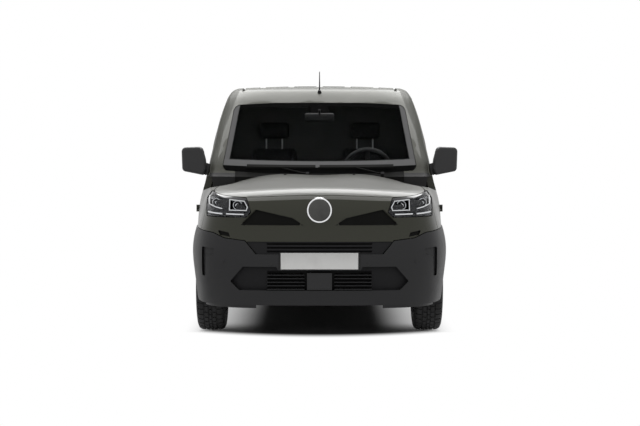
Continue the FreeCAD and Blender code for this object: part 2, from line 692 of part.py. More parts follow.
@once
def plain_side():
    """A side of the body with its openings, before the sliding door's opening is cut."""
    zone = box(610.4, FAR, DOOR_FRONT - 2, FAR, 215, FAR).fuse(box(640, FAR, -FAR, DOOR_FRONT, 1080, FAR))
    corner = box(640, FAR, -FAR, DOOR_FRONT - 2, BELT_Z - 100, BELT_Z)
    skirt = below_belt(0.0).cut(below_belt(30.0)).common(corner)
    panel = cabin_shell().common(zone).cut(windscreen_opening()).fuse(skirt.cut(moved(Skin.front(0.0), z=4)))
    panel = panel.cut(side_zone(FRONT_DOOR, "left", PANEL_GAP, DOOR_CORNERS))
    panel = panel.cut(rear_zone(rear_doors_outline(), PANEL_GAP)).cut(rear_bumper_zone(4))
    panel = panel.cut(side_zone(LOAD_RECESS, "left").cut(moved(Skin.cabin(0.0), x=-6)))
    panel = panel.cut(tail_lamp_zone(SEAT_CLEARANCE)).cut(arch("left", REAR_AXLE)).cut(roof_groove())
    x, y = REAR_HINGE
    pins = [hinge_pin(REAR_HINGE, z, (x + 0.5, x + 6.0, y - 34, y)) for z in REAR_HINGE_HEIGHTS]
    return largest(panel.fuse(pins))


def side_panel(side):
    if side == "left":
        front_recess = side_zone(SLIDING_RECESS, "left").cut(moved(Skin.cabin(0.0), x=-6))
        return largest(plain_side("left").cut(front_recess))
    return largest(plain_side("right").cut(side_zone(SLIDING_DOOR, "right", PANEL_GAP)))


def roof_panel():
    panel = cabin_shell().common(box(-610, 610, FRONT_AXLE, FAR, 1500, FAR)).cut(windscreen_opening())
    places = (-460, -230, 0, 230, 460)
    ribs = [box(x - 26, x + 26, FRONT_AXLE + 1230, REAR_END - 300, 1500, FAR) for x in places]
    panel = panel.cut(Part.makeCompound(ribs).cut(under_roof(5)))
    return largest(panel.cut(rear_zone(rear_doors_outline(), PANEL_GAP)).cut(roof_groove()))


def swinging_panel(zone, narrow_zone):
    panel = Skin.cabin(0.0).common(zone).cut(Skin.cabin(DOOR_WALL, ROOF_WALL - 4))
    return panel.cut(zone.cut(narrow_zone).common(Skin.cabin(18.0, 12.0)))


@once
def front_door():
    zone = side_zone(FRONT_DOOR, "left", 0, DOOR_CORNERS)
    narrow = side_zone(FRONT_DOOR, "left", -13, DOOR_CORNERS)
    lower_front = Skin.front(0.0).cut(Skin.front(DOOR_WALL)).common(zone)
    lower_front = lower_front.cut(zone.cut(narrow).common(Skin.front(18.0))).cut(upper_body(-0.5))
    panel = swinging_panel(zone, narrow).fuse(lower_front)
    panel = panel.cut(side_zone(DOOR_WINDOW, "left", 0, WINDOW_CORNERS))
    pocket = upper_body(9.7).cut(upper_body(15.3))
    pocket = pocket.common(side_zone(DOOR_WINDOW, "left", 10.3, WINDOW_CORNERS))
    x, y = FRONT_HINGE
    eyes = [hinge_eye(FRONT_HINGE, z, (x - 26, x + 1, y + 1, y + 12)) for z in FRONT_HINGE_HEIGHTS]
    return largest(panel.cut(pocket).fuse(eyes))


def sliding_door():
    panel = swinging_panel(side_zone(SLIDING_DOOR, "left"), side_zone(SLIDING_DOOR, "left", -13))
    panel = panel.cut(side_zone(SLIDING_RECESS, "left").cut(moved(Skin.cabin(0.0), x=-6)))
    front, rear = DOOR_REAR + 36, DOOR_REAR + 712
    reach = PANEL_GAP - SEAT_CLEARANCE
    front_catch = box(874, 892, front - reach, front + 18, 860, 920)
    rear_catch = box(874, 892, rear - 18, rear + reach, 860, 920)
    return for_side(largest(panel.fuse([front_catch, rear_catch])), "right")


@functools.cache
def both_rear_doors():
    return swinging_panel(rear_zone(rear_doors_outline()), rear_zone(rear_doors_outline(), -13))


def rear_door(side):
    half_gap = PANEL_GAP / 2
    if side == "left":
        keep = box(REAR_SPLIT + half_gap, FAR, 0, FAR, 0, FAR)
        step = box(REAR_SPLIT, REAR_SPLIT + 16, 0, FAR, 0, FAR)
    else:
        keep = box(-FAR, REAR_SPLIT - half_gap, 0, FAR, 0, FAR)
        step = box(REAR_SPLIT - 16, REAR_SPLIT, 0, FAR, 0, FAR)
    panel = both_rear_doors().common(keep).cut(step.common(Skin.cabin(18.0, 12.0)))
    panel = panel.cut(rear_zone(REAR_RECESSES[side], 0, 30).cut(moved(Skin.cabin(0.0), y=-6)))
    x, y = REAR_HINGE
    for z in REAR_HINGE_HEIGHTS:
        strap = hinge_eye(REAR_HINGE, z, (x - 90, x - 1.5, y - 30, y - 4))
        panel = panel.fuse(for_side(strap, side))
    return largest(panel)


def rear_bumper_zone(grow=0.0):
    low, top = 300.0, 552.0
    return box(-FAR, FAR, REAR_AXLE, FAR, low - 200, top + grow)


def rear_bumper():
    solid = lower_body(-BUMPER_PROUD).common(box(-FAR, FAR, REAR_AXLE, FAR, 300, 552))
    return largest(solid.cut(Skin.lower(SIDE_WALL)).cut(arches()))


def tail_lamp_zone(grow=0.0):
    outline = [(806, 780), (1000, 780), (1000, 1190), (800, 1190)]
    points = offset_outline(outline, grow) if grow else outline
    return front_prism(points, REAR_END - 135 - grow, REAR_END + 60, 10)


def tail_lamps():
    lamp = largest(Skin.cabin(0.0).common(tail_lamp_zone()).cut(Skin.cabin(DOOR_WALL, ROOF_WALL - 4)))
    return Part.makeCompound([lamp, mirror_x(lamp)])


@once
def mirror():
    """The mirror's head and the broad arm that carries it, seated on the door."""
    y = DOOR_FRONT + 72
    outline = [(1050, 1140), (1056, 1320), (902, 1325), (876, 1226), (868, 1150), (880, 1106)]
    head = front_prism(outline, y, y + 132, [30.0, 34.0, 36.0, 60.0, 40.0, 20.0])
    head = head.makeFillet(22, [e for e in head.Edges if e.BoundBox.YLength < 1 and e.BoundBox.YMin < y + 1])
    arm_outline = [(882, 1106), (890, 1206), (838, 1190), (838, 1114)]
    arm = front_prism(arm_outline, DOOR_FRONT + 150, DOOR_FRONT + 204, 6)
    return largest(head.fuse(arm).cut(moved(upper_body(0.0), x=SEAT_CLEARANCE)))


# Cab and load space
def bulkhead():
    slab = Skin.cabin(SIDE_WALL + 0.4, ROOF_WALL + 0.4)
    seat_z = LOAD_FLOOR - 2 + SEAT_CLEARANCE
    return largest(slab.common(box(-FAR, FAR, DOOR_REAR + 2, DOOR_REAR + BULKHEAD_SEAT - 4, seat_z, FAR)))


def floor_pan():
    """Cab floor, step up to the load floor, rear cross panel, firewall, rails and the rear wheel boxes."""
    inner = Skin.cabin(SIDE_WALL + 0.4, ROOF_WALL + 0.4)
    ahead = Skin.front(SIDE_WALL + 0.4, BONNET_THICKNESS + 20)
    step, end = DOOR_REAR, REAR_END - 92
    under = LOAD_FLOOR - 30
    floor = box(-FAR, FAR, SIDE_START, step + 20, CAB_FLOOR - 20, CAB_FLOOR).fuse([
        box(-FAR, FAR, step, step + BULKHEAD_SEAT, CAB_FLOOR - 20, LOAD_FLOOR - 2),
        box(-FAR, FAR, step + BULKHEAD_SEAT - 2, end, under, LOAD_FLOOR),
        box(-FAR, FAR, end - 20, end, 330, LOAD_FLOOR),
    ]).common(inner)
    for side in SIDES:
        floor = floor.cut(arch(side, REAR_AXLE, ARCH_RADIUS + 2, 620))
        outside = arch(side, REAR_AXLE, ARCH_RADIUS + 18, 606)
        cover = outside.cut(arch(side, REAR_AXLE, ARCH_RADIUS, 624)).common(box(-FAR, FAR, 0, FAR, 400, FAR))
        floor = floor.fuse(cover.common(inner))
    toe = box(-FAR, FAR, FIREWALL, SIDE_START, CAB_FLOOR - 20, CAB_FLOOR)
    wall = box(-FAR, FAR, FIREWALL, FIREWALL + 20, CAB_FLOOR - 20, BELT_Z - COWL_DEPTH - SEAT_CLEARANCE)
    rails = []
    for x in (-480, 420):
        rails.append(box(x, x + 60, FRONT_END + 130, FIREWALL + 10, 400, 500))
        rails.append(box(x, x + 60, step + 10, end - 10, 440, under + 5))
    return largest(floor.fuse([toe.fuse(wall).common(ahead)] + rails))


def wheel_liners():
    liners = []
    for side in SIDES:
        sign = SIDES[side]
        drum = arch(side, FRONT_AXLE, ARCH_RADIUS - 0.4, 484)
        drum = drum.cut(arch(side, FRONT_AXLE, ARCH_RADIUS - 5, 489))
        reach = box(min(sign * 484, sign * 840), max(sign * 484, sign * 840), -FAR, 0, 300, FAR)
        drum = drum.common(reach).common(Skin.front(SIDE_WALL + 0.4, BONNET_THICKNESS + 20))
        liners.append(largest(drum))
    return Part.makeCompound(liners)


def dashboard():
    """The fascia, seated on the firewall, with the hood over the instruments in front of the driver."""
    back = FIREWALL + 20 + SEAT_CLEARANCE
    outline = [
        (back, 985), (DOOR_FRONT - 58, 985), (DOOR_FRONT - 58, 1085), (DOOR_FRONT + 14, 1116),
        (DOOR_FRONT + 130, 1128), (DOOR_FRONT + 190, 1080), (DOOR_FRONT + 150, 860), (DOOR_FRONT + 60, 760),
        (back, 760),
    ]
    block = side_prism(outline, -762, 762, [2.0, 2.0, 12.0, 40.0, 40.0, 40.0, 40.0, 40.0, 10.0])
    plan = [(600, -FAR), (600, -815), (690, -765), (780, -700), (900, -600), (900, -FAR)]
    corner = top_prism(plan, 980, FAR)
    block = block.cut(corner).cut(mirror_x(corner))
    start, end = DOOR_FRONT + 30, DOOR_FRONT + 168
    hood_outline = [(start, 1090), (DOOR_FRONT + 70, 1168), (end, 1176), (end, 1090)]
    hood = side_prism(hood_outline, STEERING_X - 175, STEERING_X + 175, 24)
    mouth = [(DOOR_FRONT + 120, 1135), (DOOR_FRONT + 120, 1164), (FAR, 1164), (FAR, 1120)]
    hood = hood.cut(side_prism(mouth, 212, 532, 8))
    console = box(-120, 120, DOOR_FRONT + 40, DOOR_FRONT + 150, CAB_FLOOR + SEAT_CLEARANCE, 800)
    room = Skin.cabin(SIDE_WALL + 0.4, ROOF_WALL + 0.4)
    room = room.fuse(Skin.front(SIDE_WALL + 0.4, BONNET_THICKNESS + 20))
    fascia = largest(block.fuse([hood, console]).common(room))
    start = COLUMN_START + SEAT_CLEARANCE
    shroud = cylinder(32, STEERING_CENTRE - STEERING_AXIS * 190, STEERING_CENTRE - STEERING_AXIS * start)
    shroud = shroud.cut(moved(fascia, y=SEAT_CLEARANCE))
    front = max(shroud.Solids, key=lambda solid: solid.CenterOfMass.y)
    return Part.makeCompound([fascia, front])


def seat(side):
    x = SIDES[side] * STEERING_X
    base = box(x - 215, x + 215, -330, 150, CAB_FLOOR + SEAT_CLEARANCE, 560)
    cushion = box(x - 250, x + 250, -360, 180, 560, 740)
    cushion = cushion.makeFillet(40, cushion.Edges)
    back = side_prism([(80, 640), (210, 640), (285, 1330), (205, 1330)], x - 245, x + 245, 35)
    back = back.makeFillet(30, [e for e in back.Edges if e.BoundBox.XLength < 1])
    rest = side_prism([(212, 1370), (285, 1370), (292, 1530), (222, 1530)], x - 130, x + 130, 30)
    posts = [cylinder(7, Vector(x + dx, 246, 1300), Vector(x + dx, 254, 1400)) for dx in (-70, 70)]
    shape = base.fuse([cushion, back, rest] + posts)
    return largest(shape)


def steering_wheel():
    centre, axis = STEERING_CENTRE, STEERING_AXIS
    rim = Part.makeTorus(180, 15, centre, axis)
    hub = cylinder(72, centre - axis * 42, centre - axis * 4)
    hub = hub.makeFillet(12, hub.Edges)
    spokes = []
    for angle in (0, 180, 270):
        spoke = Part.makeBox(182, 36, 14, Vector(0, -18, -7))
        spoke.rotate(Vector(0, 0, 0), Vector(0, 0, 1), angle)
        spoke.rotate(Vector(0, 0, 0), Vector(1, 0, 0), -(90 - math.degrees(STEERING_TILT)))
        spoke.translate(centre - axis * 12)
        spokes.append(spoke)
    column = cylinder(24, centre - axis * COLUMN_START, centre - axis * 40)
    return largest(rim.fuse([hub, column] + spokes))


# Running gear
def tyre(x, y):
    """A plain tyre; its bead lies inside the rim's flange and its side swells out above it."""
    half = TYRE_WIDTH / 2
    bead = RIM_RADIUS + 0.4
    foot = Vector(RIM_HALF_WIDTH - 0.6, 0, bead)
    side_points = [
        (RIM_HALF_WIDTH + 5.2, RIM_RADIUS + 9), (half - 2, RIM_RADIUS + 32), (half, RIM_RADIUS + 58),
        (half - 5, TYRE_RADIUS - 34), (half - 20, TYRE_RADIUS - 10), (half - 36, TYRE_RADIUS - 3),
    ]
    side = [Vector(a, 0, r) for a, r in side_points]
    mirrored = [Vector(-p.x, 0, p.z) for p in side]
    far_foot = Vector(-foot.x, 0, foot.z)
    face = Part.Face(Part.Wire([
        Part.LineSegment(far_foot, foot).toShape(),
        Part.LineSegment(foot, side[0]).toShape(),
        spline(side),
        spline([side[-1], Vector(0, 0, TYRE_RADIUS), mirrored[-1]]),
        spline(list(reversed(mirrored))),
        Part.LineSegment(mirrored[0], far_foot).toShape(),
    ]))
    ring = face.revolve(Vector(0, 0, 0), Vector(1, 0, 0), 360)
    ring.translate(Vector(x, y, TYRE_RADIUS))
    return ring


def rim(x, y):
    """A pressed steel wheel, its dished face outwards, with the round cap over the hub."""
    sign = 1 if x > 0 else -1
    edge, radius = RIM_HALF_WIDTH, RIM_RADIUS
    profile = [
        (-edge, radius), (-edge - 6, radius + 9), (-edge - 10, radius + 9), (-edge - 10, radius - 6),
        (-edge, radius - 8), (-30, radius - 22), (26, radius - 22), (30, 150), (44, 128), (36, 92),
        (30, 64), (30, HUB_BORE), (37, HUB_BORE), (56, 30), (62, 0), (74, 0), (66, 36), (48, 52), (44, 66),
        (48, 92), (58, 128), (42, 152), (38, radius - 22), (edge, radius - 8), (edge + 10, radius - 6),
        (edge + 10, radius + 9), (edge + 6, radius + 9), (edge, radius),
    ]
    points = [Vector(sign * a, 0, r) for a, r in profile]
    face = Part.Face(Part.makePolygon(points + [points[0]]))
    wheel = face.revolve(Vector(0, 0, 0), Vector(1, 0, 0), 360)
    holes = []
    for k in range(RIM_HOLES):
        hole = cylinder(11, Vector(-20 * sign, 0, 146), Vector(90 * sign, 0, 146))
        hole.rotate(Vector(0, 0, 0), Vector(1, 0, 0), 360 / RIM_HOLES * k)
        holes.append(hole)
    wheel = wheel.cut(Part.makeCompound(holes))
    wheel.translate(Vector(x, y, TYRE_RADIUS))
    return largest(wheel)


@once
def knuckle():
    """The hub carrier: an upright on the steering axis, a brake disc and the stub axle."""
    x = KINGPIN_X
    foot, head = Vector(x, FRONT_AXLE, 220 + SEAT_CLEARANCE), Vector(x, FRONT_AXLE, 432 - SEAT_CLEARANCE)
    shape = cylinder(20, foot, head).fuse(across(46, x - 16, x + 24, FRONT_AXLE))
    shape = shape.fuse(across(132, x + 20, x + 38, FRONT_AXLE))
    shape = shape.fuse(across(HUB_BORE - 0.4, x + 30, WHEEL_X + 36, FRONT_AXLE))
    arm = box(x - 70, x + 4, FRONT_AXLE + 60, FRONT_AXLE + 84, 300, 322)
    link = box(x - 12, x + 12, FRONT_AXLE, FRONT_AXLE + 84, 300, 322)
    return largest(shape.fuse([arm, link]))


def front_suspension():
    """The cross member with a lower arm, a strut and a top link on each side."""
    strut_x = KINGPIN_X - 150
    half = [
        box(380, KINGPIN_X + 4, FRONT_AXLE - 16, FRONT_AXLE + 16, 196, 220),
        cylinder(27, Vector(strut_x, FRONT_AXLE, 210), Vector(strut_x, FRONT_AXLE, 690)),
        box(strut_x, KINGPIN_X + 4, FRONT_AXLE - 14, FRONT_AXLE + 14, 432, 452),
        box(405, 475, FRONT_AXLE - 60, FRONT_AXLE + 60, 262, 400),
    ]
    member = box(-476, 476, FRONT_AXLE - 60, FRONT_AXLE + 120, 200, 262)
    return largest(member.fuse(half + [mirror_x(solid) for solid in half]))


def rear_axle():
    """The beam with a trailing arm, a spring, a brake drum and a hub on each side."""
    spring = Vector(540, REAR_AXLE - 170, 325)
    half = [
        box(540, 600, REAR_AXLE - 380, REAR_AXLE + 50, 268, 332),
        across(30, 560, REAR_WHEEL_X - 20, REAR_AXLE),
        across(HUB_BORE - 0.4, 700, REAR_WHEEL_X + 36, REAR_AXLE),
        across(110, 712, 756, REAR_AXLE),
        cylinder(46, spring, Vector(spring.x, spring.y, LOAD_FLOOR - 30 - SEAT_CLEARANCE)),
    ]
    beam = box(-560, 560, REAR_AXLE - 210, REAR_AXLE - 130, 270, 330)
    return largest(beam.fuse(half + [mirror_x(solid) for solid in half]))


def engine_block():
    block = box(-395, 395, FRONT_AXLE - 460, FRONT_AXLE + 160, 400, 940)
    block = block.cut(box(-FAR, -340, FRONT_AXLE - 500, FRONT_AXLE + 300, 0, 520))
    block = block.makeFillet(20, [e for e in block.Edges if e.Length > 500])
    reach = 420 - SEAT_CLEARANCE
    return largest(block.fuse(box(-reach, reach, FRONT_AXLE - 260, FRONT_AXLE - 160, 425, 485)))


def radiator():
    """A plain slab held between the two front rails."""
    reach = 420 - SEAT_CLEARANCE
    return box(-reach, reach, FRONT_END + 128, FRONT_END + 168, 345, 760)


def fuel_tank():
    tank = box(-360, 360, DOOR_REAR + 240, DOOR_REAR + 740, 350, LOAD_FLOOR - 30 - SEAT_CLEARANCE)
    return tank.makeFillet(35, tank.Edges)


def exhaust():
    """Pipe, silencer and tail pipe, with a hanger that meets the load floor from below."""
    x = -400
    pipe = cylinder(22, Vector(x, FRONT_AXLE + 180, 355), Vector(x, REAR_AXLE + 160, 355))
    silencer = cylinder(78, Vector(x, REAR_AXLE + 150, 350), Vector(x, REAR_END - 260, 350))
    tail = cylinder(20, Vector(x, REAR_END - 270, 300), Vector(x, REAR_END - 130, 300))
    hanger = box(x - 8, x + 8, REAR_AXLE + 290, REAR_AXLE + 320, 420, LOAD_FLOOR - 30 - SEAT_CLEARANCE)
    return largest(pipe.fuse([silencer, tail, hanger]))


def antenna():
    foot = Vector(0, FRONT_AXLE + 1160, 1752)
    tip = Vector(0, FRONT_AXLE + 1252, 1921)
    rod = Part.makeCone(6, 3, (tip - foot).Length, foot, tip - foot)
    base = Part.makeCone(24, 10, 34, Vector(0, FRONT_AXLE + 1160, 1738), Vector(0, -0.3, 1))
    return largest(rod.fuse(base).cut(upper_body(-0.5)))


def wipers():
    """Two wipers at rest at the foot of the windscreen, each a pivot on the scuttle, an arm and a blade."""
    height = BELT_Z + WIPER_RISE
    share = WIPER_RISE / (ROOF_Z - BELT_Z)
    low, high = UPPER_LEVELS[0], UPPER_LEVELS[1]
    level = [a + (b - a) * (share - low[0]) / (high[0] - low[0]) for a, b in zip(low, high)]
    band = Part.Face(upper_outline(level, -12.0, 0.0)).cut(Part.Face(upper_outline(level, -4.0, 0.0)))
    band = band.extrude(Vector(0, 0, 12))
    solids = []
    for pivot_x, pivot_back, inner, outer in WIPERS:
        blade = band.common(box(inner, outer, -FAR, 0, height - 1, FAR))
        middle = (inner + outer) / 2
        held = band.common(box(middle - 2, middle + 2, -FAR, 0, height - 1, FAR)).BoundBox
        foot = Vector(pivot_x, FRONT_END + pivot_back, BELT_Z - 12)
        pivot = cylinder(13, foot, foot + Vector(0, 0, 42)).cut(moved(cowl(), z=SEAT_CLEARANCE))
        arm = cylinder(6, foot + Vector(0, 0, 34), Vector(middle, (held.YMin + held.YMax) / 2, height + 6))
        solids.append(largest(blade.fuse([largest(pivot), arm])))
    return Part.makeCompound(solids)


NODES = {
    "floor_pan": floor_pan,
    "side_panel_left": lambda: side_panel("left"),
    "side_panel_right": lambda: side_panel("right"),
    "roof_panel": roof_panel,
    "sliding_door_right": sliding_door,
    "front_wing_left": lambda: front_wing("left"),
    "front_wing_right": lambda: front_wing("right"),
    "front_panel": front_panel,
    "front_bumper": front_bumper,
    "grille": grille,
    "nose_disc": nose_disc,
    "headlamp_left": lambda: headlamp("left"),
    "headlamp_right": lambda: headlamp("right"),
    "windscreen": windscreen,
    "cowl": cowl,
    "rear_bumper": rear_bumper,
    "tail_lamps": tail_lamps,
    "bonnet": bonnet,
    "front_door_left": lambda: front_door("left"),
    "front_door_right": lambda: front_door("right"),
    "door_glass_left": lambda: door_glass("left"),
    "door_glass_right": lambda: door_glass("right"),
    "mirror_left": lambda: mirror("left"),
    "mirror_right": lambda: mirror("right"),
    "rear_door_left": lambda: rear_door("left"),
    "rear_door_right": lambda: rear_door("right"),
    "bulkhead": bulkhead,
    "dashboard": dashboard,
    "seat_driver": lambda: seat("left"),
    "seat_passenger": lambda: seat("right"),
    "steering_wheel": steering_wheel,
    "engine_block": engine_block,
    "radiator": radiator,
    "wheel_liners": wheel_liners,
    "front_suspension": front_suspension,
    "rear_axle": rear_axle,
    "fuel_tank": fuel_tank,
    "exhaust": exhaust,
    "knuckle_left": lambda: knuckle("left"),
    "knuckle_right": lambda: knuckle("right"),
    "tyre_front_left": lambda: tyre(WHEEL_X, FRONT_AXLE),
    "tyre_front_right": lambda: tyre(-WHEEL_X, FRONT_AXLE),
    "tyre_rear_left": lambda: tyre(REAR_WHEEL_X, REAR_AXLE),
    "tyre_rear_right": lambda: tyre(-REAR_WHEEL_X, REAR_AXLE),
    "rim_front_left": lambda: rim(WHEEL_X, FRONT_AXLE),
    "rim_front_right": lambda: rim(-WHEEL_X, FRONT_AXLE),
    "rim_rear_left": lambda: rim(REAR_WHEEL_X, REAR_AXLE),
    "rim_rear_right": lambda: rim(-REAR_WHEEL_X, REAR_AXLE),
    "antenna": antenna,
    "wipers": wipers,
}

if __name__ == "__main__":
    os.makedirs("parts", exist_ok=True)
    for name, build in NODES.items():
        build().exportStep("parts/" + name + ".step")
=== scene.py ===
"""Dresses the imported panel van: paint, plastics, glass, lamps, tyres, seats, trim and the studio round it.

+Z is up, the van faces -Y, and +X is its left side, where the driver sits. Lengths are in metres.
"""
import json
import math

import bmesh
import bpy
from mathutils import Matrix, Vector

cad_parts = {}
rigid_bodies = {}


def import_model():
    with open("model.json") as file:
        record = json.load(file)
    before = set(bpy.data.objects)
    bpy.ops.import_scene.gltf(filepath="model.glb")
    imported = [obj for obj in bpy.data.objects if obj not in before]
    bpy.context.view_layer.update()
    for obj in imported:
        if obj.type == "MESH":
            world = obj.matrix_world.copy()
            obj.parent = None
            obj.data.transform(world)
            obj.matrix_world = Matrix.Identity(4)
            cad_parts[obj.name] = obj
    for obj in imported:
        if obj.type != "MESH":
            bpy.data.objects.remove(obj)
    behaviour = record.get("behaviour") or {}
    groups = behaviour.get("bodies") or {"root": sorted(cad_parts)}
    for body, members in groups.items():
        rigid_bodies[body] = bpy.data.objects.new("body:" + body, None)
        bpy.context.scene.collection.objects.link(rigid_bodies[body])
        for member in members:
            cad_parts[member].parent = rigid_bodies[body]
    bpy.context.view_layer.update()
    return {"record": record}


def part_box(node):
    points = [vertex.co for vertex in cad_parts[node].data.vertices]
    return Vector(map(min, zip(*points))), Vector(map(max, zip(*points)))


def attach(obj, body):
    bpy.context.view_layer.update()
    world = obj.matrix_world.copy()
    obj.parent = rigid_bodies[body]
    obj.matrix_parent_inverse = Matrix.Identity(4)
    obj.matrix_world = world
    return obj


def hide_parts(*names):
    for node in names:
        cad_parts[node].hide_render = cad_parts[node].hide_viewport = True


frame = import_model()
cad = bpy.data.objects
SIDES = {"left": 1, "right": -1}

# How a flat sheet is turned to face the front or the side
FACING_FRONT = (math.pi / 2, 0.0, 0.0)
FACING_LEFT = (math.pi / 2, 0.0, math.pi / 2)
# Points nearer than this become one
WELD = 0.00005
# Wheels: faces round a tyre, a multiple of six, and the bolts with the radius of their circle
TREAD_STEPS = 252
BOLT_COUNT, BOLT_CIRCLE = 5, 0.054
# Seats: how many frames the pads swell for
SWELL_FRAMES = 20
# Heights above the ground, and the tilt of the steering column
HANDLE_HEIGHT = 0.985
VENT_HEIGHT, KNOB_HEIGHT = 1.04, 0.905
COLUMN_TILT = math.radians(28)
# Studio: the camera looks down by its dip in degrees; the light is a rectangle above the van
CAMERA_PLACE, CAMERA_DIP = (0.0036, -12.8095, 1.4), 2.747
LIGHT_PLACE, LIGHT_SIZE, LIGHT_POWER = (0.0, 1.65, 3.5), (4.2, 2.7), 190.0
FLOOR_SIZE = 160.0
# The faint film on glass, as the patches of worn()
FILM = (5.0, 4.0, 0.5, 0.5, 0.95)


# Shader nodes
def math_node(operation, swapped=False):
    """A method for Sum that adds one math node to the material."""
    def method(self, other=None):
        values = (other, self) if swapped else (self, other)
        inputs = {index: value for index, value in enumerate(values) if value is not None}
        return self.finish.add("ShaderNodeMath", {"operation": operation}, inputs)

    return method


class Sum:
    """A socket in a material that can be used in plain arithmetic."""

    def __init__(self, finish, socket):
        self.finish = finish
        self.socket = socket

    __add__, __radd__ = math_node("ADD"), math_node("ADD", True)
    __sub__, __rsub__ = math_node("SUBTRACT"), math_node("SUBTRACT", True)
    __mul__, __rmul__ = math_node("MULTIPLY"), math_node("MULTIPLY", True)
    __gt__, __lt__ = math_node("GREATER_THAN"), math_node("LESS_THAN")
    larger, sine, absolute = math_node("MAXIMUM"), math_node("SINE"), math_node("ABSOLUTE")

    def clamp(self, low=0.0, high=1.0):
        return self.finish.add("ShaderNodeClamp", {}, {"Value": self, "Min": low, "Max": high})

    def step(self, low, high):
        """0 below low, 1 above high, smooth between."""
        inputs = {"Value": self, "From Min": low, "From Max": high, "To Min": 0.0, "To Max": 1.0}
        return self.finish.add("ShaderNodeMapRange", {"interpolation_type": "SMOOTHSTEP"}, inputs)


class Finish:
    """One material and its nodes."""

    def __init__(self, name):
        self.material = bpy.data.materials.new(name)
        self.material.use_nodes = True
        self.tree = self.material.node_tree
        self.shader = next(n for n in self.tree.nodes if n.type == "BSDF_PRINCIPLED")
        self.output = next(n for n in self.tree.nodes if n.type == "OUTPUT_MATERIAL")

    def put(self, socket, value):
        """Link a socket, or set it; three numbers for a colour get their alpha here."""
        if isinstance(value, Sum):
            self.tree.links.new(value.socket, socket)
        elif socket.type == "RGBA" and len(value) == 3:
            socket.default_value = (*value, 1.0)
        else:
            socket.default_value = value

    def add(self, kind, settings, inputs, output=0):
        node = self.tree.nodes.new(kind)
        for key, value in settings.items():
            setattr(node, key, value)
        for key, value in inputs.items():
            self.put(node.inputs[key], value)
        return Sum(self, node.outputs[output])

    def place(self):
        return self.add("ShaderNodeTexCoord", {}, {}, "Object")

    def axes(self):
        """The place on the piece as three numbers."""
        node = self.add("ShaderNodeSeparateXYZ", {}, {"Vector": self.place()}).socket.node
        return [Sum(self, node.outputs[i]) for i in range(3)]

    def noise(self, scale, detail=3.0, roughness=0.5, stretch=(1.0, 1.0, 1.0)):
        moved = self.add("ShaderNodeMapping", {}, {"Vector": self.place(), "Scale": stretch})
        inputs = {"Vector": moved, "Scale": scale, "Detail": detail, "Roughness": roughness}
        return self.add("ShaderNodeTexNoise", {}, inputs)

    def cells(self, scale, feature="F1"):
        inputs = {"Vector": self.place(), "Scale": scale}
        return self.add("ShaderNodeTexVoronoi", {"feature": feature}, inputs)

    def mix(self, share, first, second):
        """A colour that goes from first to second as share goes from 0 to 1."""
        inputs = {"Factor": share, 6: first, 7: second}
        return self.add("ShaderNodeMix", {"data_type": "RGBA"}, inputs, 2)

    def bump(self, height, strength, distance):
        inputs = {"Height": height, "Strength": strength, "Distance": distance}
        self.feed(Normal=self.add("ShaderNodeBump", {}, inputs))

    def feed(self, **values):
        """Set the shader's sockets, written with underscores for the spaces in their names."""
        for key, value in values.items():
            self.put(self.shader.inputs[key.replace("_", " ")], value)

    def second_shader(self, share, kind, inputs):
        """Another shader takes over from the first by share, from 0 to 1."""
        other = self.add(kind, {}, inputs)
        mixed = self.add("ShaderNodeMixShader", {}, {0: share, 2: other})
        self.tree.links.new(self.shader.outputs[0], mixed.socket.node.inputs[1])
        self.tree.links.new(mixed.socket, self.output.inputs["Surface"])


def grey(value):
    return (value,) * 3


def lighter(colour, times, more=0.0):
    return tuple(c * times + more for c in colour)


def metallic_paint(name, base, flake, foot_cover=False):
    """Dark metallic base under clear lacquer, with fine flakes, slight orange peel and dust low down.

    The window frames and gutters are duller; foot_cover blackens the trim at the foot of the front pillars.
    """
    f = Finish(name)
    sparkle = (0.3 - f.cells(1500.0)).clamp() * 1.6
    cloudy = f.noise(1.6, 3.0, 0.5)
    colour = f.mix(sparkle.clamp(), f.mix(cloudy, lighter(base, 0.92), lighter(base, 1.08)), flake)
    x, y, z = f.axes()
    dust = (1.0 - z.step(0.25, 0.8)) * f.noise(7.0, 5.0, 0.6).step(0.4, 0.8) * 0.16
    colour = f.mix(dust, colour, (0.07, 0.066, 0.058))
    frames = (x.absolute() - (0.845 - (z - 1.2) * 0.33)).step(-0.02, -0.005) * z.step(1.1, 1.16)
    frames = frames * (y < 0.298)
    dull = frames.larger(z.step(1.768, 1.785))
    if foot_cover:
        cover = (z > 0.985) * (z < 1.128) * (y < -0.66) * (x.absolute() > 0.6)
        colour = f.mix(cover, colour, grey(0.004))
        dull = dull.larger(cover)
    f.feed(Base_Color=colour, Metallic=0.35 - dull * 0.3, Roughness=0.42 + dust + dull * 0.1)
    f.feed(Specular_IOR_Level=0.22)
    f.feed(Coat_Weight=(0.27 - dust) * (1.0 - dull * 0.8), Coat_Roughness=0.04, Coat_IOR=1.45)
    f.bump(f.noise(60.0, 2.0), 0.01, 0.0004)
    return f.material


